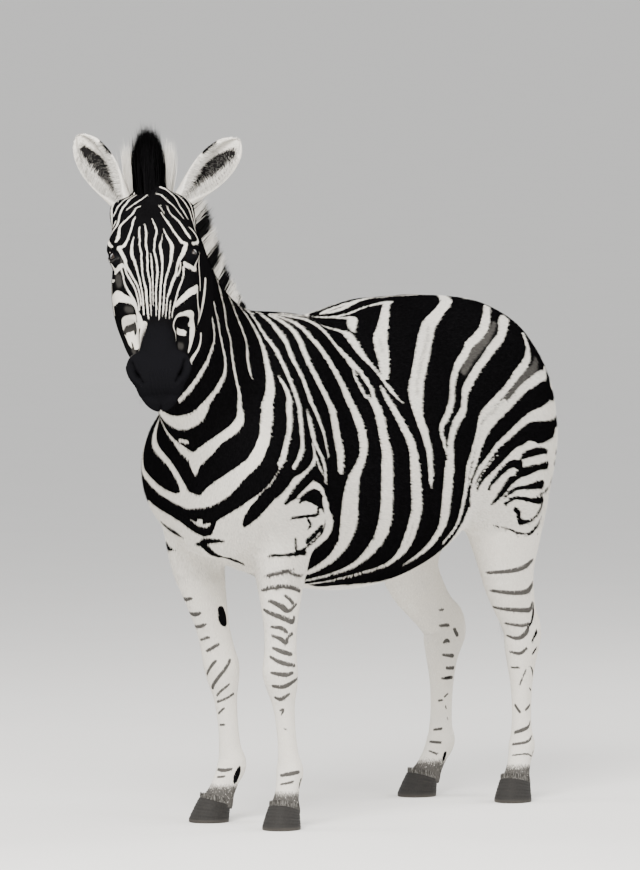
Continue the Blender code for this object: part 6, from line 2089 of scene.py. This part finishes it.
class Nodes:
    """A material's nodes, added by type and wired by name."""

    def __init__(self, name):
        self.material = bpy.data.materials.new(name)
        self.material.use_nodes = True
        self.tree = self.material.node_tree
        self.shader = self.tree.nodes["Principled BSDF"]

    def add(self, kind, inputs=(), **settings):
        node = self.tree.nodes.new("ShaderNode" + kind)
        for key, value in settings.items():
            setattr(node, key, value)
        for key, value in dict(inputs).items():
            self.put(node.inputs[key], value)
        return node

    def set(self, **values):
        """Puts values on the shader's own inputs. A low line stands for a space in an input's name."""
        for name, value in values.items():
            self.put(self.shader.inputs[name.replace("_", " ")], value)

    def put(self, socket, value):
        if isinstance(value, bpy.types.NodeSocket):
            self.tree.links.new(value, socket)
        else:
            socket.default_value = value

    def value(self, name, kind="Fac"):
        """What the mesh says at each place under this name."""
        return self.add("Attribute", attribute_name=name).outputs[kind]

    def place(self):
        return self.add("NewGeometry").outputs["Position"]

    def math(self, operation, *values, clamp=False):
        node = self.add("Math", operation=operation, use_clamp=clamp)
        for socket, value in zip(node.inputs, values):
            self.put(socket, value)
        return node.outputs[0]

    def noise(self, vector, scale, detail=3.0, rough=0.5):
        node = self.add("TexNoise", {"Scale": scale, "Detail": detail, "Roughness": rough, "Vector": vector})
        return node.outputs["Fac"]

    def mix(self, share, a, b, blend="MIX"):
        """Two colours mixed: a colour mix keeps them in its sockets 6 and 7, and its result in 2."""
        return self.add("Mix", {0: share, 6: a, 7: b}, data_type="RGBA", blend_type=blend).outputs[2]

    def stretched(self, vector, size):
        return self.add("VectorMath", {0: vector, 1: size}, operation="MULTIPLY").outputs[0]

    def bump(self, height, distance, strength=1.0, normal=None):
        node = self.add("Bump", {"Height": height, "Distance": distance, "Strength": strength})
        if normal is not None:
            self.put(node.inputs["Normal"], normal)
        return node.outputs["Normal"]


def rgba(colour):
    return (*[float(c) for c in colour], 1.0)


def skin_material():
    """Pale and dark hair lying on the skin, and bare skin on the muzzle and round the eyes."""
    m = Nodes("zebra_skin")
    grain = m.value("grain", "Vector")
    streak = m.noise(m.stretched(grain, (900.0, 110.0, 40.0)), 1.0, 3.0)
    fine = m.noise(m.stretched(grain, (2600.0, 260.0, 40.0)), 1.0, 2.0)
    place = m.place()
    patch = m.noise(place, 9.0, 3.0)
    ragged = m.math("MULTIPLY", m.math("SUBTRACT", streak, 0.5), 0.0040)
    edge = m.math("ADD", m.value("mark"), ragged)
    black = m.math("MULTIPLY_ADD", edge, 900.0, 0.5, clamp=True)
    pale = m.mix(patch, rgba(WHITE * 0.86), rgba(WHITE * np.array([0.98, 0.95, 0.90])))
    pale = m.mix(m.math("MULTIPLY", streak, 0.35), pale, rgba(WHITE * 0.45))
    dark = m.mix(fine, rgba(BLACK_HAIR * 0.7), rgba(BLACK_HAIR * 1.7))
    dark = m.mix(m.value("grey"), dark, rgba(ASH_HAIR))
    hair = m.mix(black, pale, dark)
    nose = m.mix(fine, rgba(BARE_SKIN * 0.7), rgba(BARE_SKIN * 1.8))
    pores = m.noise(place, 900.0, 2.0)
    height = m.math("ADD", m.math("MULTIPLY", streak, 0.6), m.math("MULTIPLY", fine, 0.4))
    m.set(
        Base_Color=m.mix(m.value("bare"), hair, nose),
        Roughness=m.math("MULTIPLY_ADD", m.value("bare"), -0.18, 0.82),
        Normal=m.bump(pores, 0.0004, 0.4, m.bump(height, 0.0012, 0.6)),
        Specular_IOR_Level=0.0,
    )
    return m.material


def hair_material(name, rough, shine):
    """Hair in the tints of its blades, a little darker in places."""
    m = Nodes(name)
    place = m.place()
    tone = m.noise(place, 260.0, 2.0)
    share = m.math("MULTIPLY_ADD", tone, 0.30, -0.05, clamp=True)
    m.set(
        Base_Color=m.mix(share, m.value("tint", "Color"), (0.45, 0.42, 0.40, 1.0), "MULTIPLY"),
        Roughness=m.math("MULTIPLY_ADD", tone, 0.12, rough),
        Specular_IOR_Level=shine,
    )
    return m.material


def eye_material():
    """A wet eye, whose pupil is an oval that lies along the slit."""
    m = Nodes("zebra_eye")
    place = m.add("TexCoord").outputs["Object"]
    split = m.add("SeparateXYZ", {0: place})
    x, y = split.outputs[0], split.outputs[1]
    flat = m.math("POWER", m.math("DIVIDE", x, 0.0072), 2.0)
    tall = m.math("POWER", m.math("DIVIDE", y, 0.0036), 2.0)
    pupil = m.math("SUBTRACT", 1.0, m.math("ADD", flat, tall))
    pupil = m.math("MULTIPLY_ADD", pupil, 5.0, 0.5, clamp=True)
    ring = m.math("SQRT", m.math("ADD", m.math("POWER", x, 2.0), m.math("POWER", y, 2.0)))
    limbus = m.math("MULTIPLY_ADD", ring, 700.0, -8.4, clamp=True)
    rays = m.noise(m.stretched(place, (520.0, 520.0, 60.0)), 1.0, 3.0)
    iris = m.mix(rays, (0.008, 0.005, 0.0035, 1.0), (0.030, 0.017, 0.009, 1.0))
    iris = m.mix(limbus, iris, (0.008, 0.006, 0.005, 1.0))
    m.set(
        Base_Color=m.mix(pupil, iris, (0.0015, 0.0015, 0.002, 1.0)),
        Roughness=m.math("MULTIPLY_ADD", rays, 0.02, 0.05),
        Coat_Weight=0.5,
        Coat_Roughness=0.03,
        Specular_IOR_Level=0.35,
    )
    return m.material


def hoof_material():
    """Streaked horn, dusty towards the ground."""
    m = Nodes("zebra_hoof")
    place = m.place()
    upright = m.noise(m.stretched(place, (420.0, 420.0, 22.0)), 1.0, 3.0)
    ring = m.noise(m.stretched(place, (12.0, 12.0, 420.0)), 1.0, 2.0)
    horn = m.mix(upright, (0.008, 0.0078, 0.0076, 1.0), (0.030, 0.028, 0.026, 1.0))
    height = m.add("SeparateXYZ", {0: place}).outputs[2]
    dust = m.math("MULTIPLY_ADD", height, -55.0, 0.62, clamp=True)
    dust = m.math("MULTIPLY", dust, m.math("MULTIPLY_ADD", ring, 1.2, -0.1, clamp=True))
    grooves = m.math("ADD", ring, m.math("MULTIPLY", upright, 0.6))
    m.set(
        Base_Color=m.mix(dust, horn, (0.17, 0.155, 0.135, 1.0)),
        Roughness=m.math("MULTIPLY_ADD", upright, 0.20, 0.55),
        Normal=m.bump(grooves, 0.0007, 0.7),
        Specular_IOR_Level=0.15,
    )
    return m.material


def stage_material():
    m = Nodes("studio_floor")
    place = m.place()
    tone = m.noise(place, 3.0, 3.0)
    m.set(Base_Color=m.mix(tone, (0.77, 0.76, 0.74, 1.0), (0.80, 0.79, 0.77, 1.0)), Roughness=0.85)
    return m.material


def dressed(obj, material):
    obj.data.materials.clear()
    obj.data.materials.append(material)


# ---------------------------------------------------------------- studio and camera

CAMERA_AZIMUTH = math.radians(39)
CAMERA_RISE = math.radians(3.5)
CAMERA_TARGET = 0.2263, -0.2608, 1.0058
CAMERA_DISTANCE = 25.0
CAMERA_LENS = 408.6
FLOOR_REACH = 400.0
LIGHTS_AIM = 0, -0.1, 1.0
LIGHTS = (  # place, size, power
    ((2.2, -4.4, 4.8), 3.2, 900),
    ((-4.0, -2.0, 3.4), 3.0, 150),
    ((1.5, 4.5, 4.2), 3.0, 240),
    ((4.6, 0.5, 2.6), 2.4, 110),
)


def aimed(name, data, place, away):
    """Puts a light or camera at a place, with its back to the way away."""
    made = in_scene(name, data)
    made.location = place
    made.rotation_euler = away.to_track_quat("Z", "Y").to_euler()
    return made


def studio():
    """A wide pale floor, soft lights and the camera."""
    points = [(x, y, 0) for x in (-FLOOR_REACH, FLOOR_REACH) for y in (-FLOOR_REACH, FLOOR_REACH)]
    floor = new_object("studio_floor", points, [(0, 2, 3, 1)])
    dressed(floor, stage_material())

    world = bpy.context.scene.world or bpy.data.worlds.new("studio")
    bpy.context.scene.world = world
    world.use_nodes = True
    sky = world.node_tree.nodes["Background"]
    sky.inputs["Color"].default_value = (0.97, 0.975, 0.98, 1)
    sky.inputs["Strength"].default_value = 0.95
    for place, size, power in LIGHTS:
        lamp = bpy.data.lights.new("soft_light", "AREA")
        lamp.size = size
        lamp.energy = power
        lamp.color = (1.0, 0.975, 0.94)
        aimed("soft_light", lamp, place, Vector(place) - Vector(LIGHTS_AIM))

    camera = bpy.data.cameras.new("camera")
    camera.lens = CAMERA_LENS
    camera.sensor_width = 36
    camera.sensor_height = 36
    camera.sensor_fit = "AUTO"
    camera.clip_end = 2000
    flat, yaw = math.cos(CAMERA_RISE), CAMERA_AZIMUTH
    way = Vector((math.sin(yaw) * flat, -math.cos(yaw) * flat, math.sin(CAMERA_RISE)))
    place = Vector(CAMERA_TARGET) + way * CAMERA_DISTANCE
    bpy.context.scene.camera = aimed("camera", camera, place, way)


# ---------------------------------------------------------------- the zebra

FLESH = ["trunk", "neck", "head", "muzzle", "ear_left", "ear_right", "tail_dock"]
FLESH += [f"{name}_{part}" for name in LEGS for part in ("upper", "lower")]


def belongs(obj, material, slot, *nodes):
    """Gives a piece its material, and says which nodes it takes the place of. Its slot is not used."""
    dressed(obj, material)
    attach(obj, "root")
    if nodes:
        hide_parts(*nodes)


def marked_skin():
    """The skin with its marks: (object, what was added, number of body points)."""
    body, kinds, body_points = skin()
    p = coordinates(body.data)
    mark, grey, bare = markings(p)
    for kind, side, first, last in kinds:
        these = slice(first, last)
        if kind == "ear":
            mark[these], grey[these] = ear_marks(p[these], side)
            bare[these] = 0
        else:
            bare[these] = 1
    bare = np.maximum(bare, smooth(EYE_RADIUS + 0.0046 - from_eye(in_head(p)), 0, 0.0020))
    for name, values in (("mark", mark), ("grey", grey), ("bare", bare), ("grain", grain_of(p))):
        point_value(body.data, name, values)
    return body, kinds, body_points


def zebra():
    rng = np.random.default_rng(20)
    body, kinds, body_points = marked_skin()
    belongs(body, skin_material(), "coat", *FLESH)

    short = hair_material("zebra_coat", 0.72, 0.0)
    long = hair_material("zebra_long_hair", 0.62, 0.01)
    for piece in body_coat(body, body_points, rng) + ear_coat(body, kinds, rng) + [coronet_hair(rng)]:
        belongs(piece, short, "coat")
    for make, nodes in ((mane, ["mane"]), (forelock, ["forelock"]), (tail_hair, ["tail_tuft"]), (lashes, [])):
        belongs(make(rng), long, "long_hair", *nodes)

    wet, horn = eye_material(), hoof_material()
    for side, node in ((1, "eye_left"), (-1, "eye_right")):
        belongs(eyeball(side), wet, "eye", node)
    for name in LEGS:
        belongs(hoof(name), horn, "hoof", name + "_hoof")


studio()
zebra()
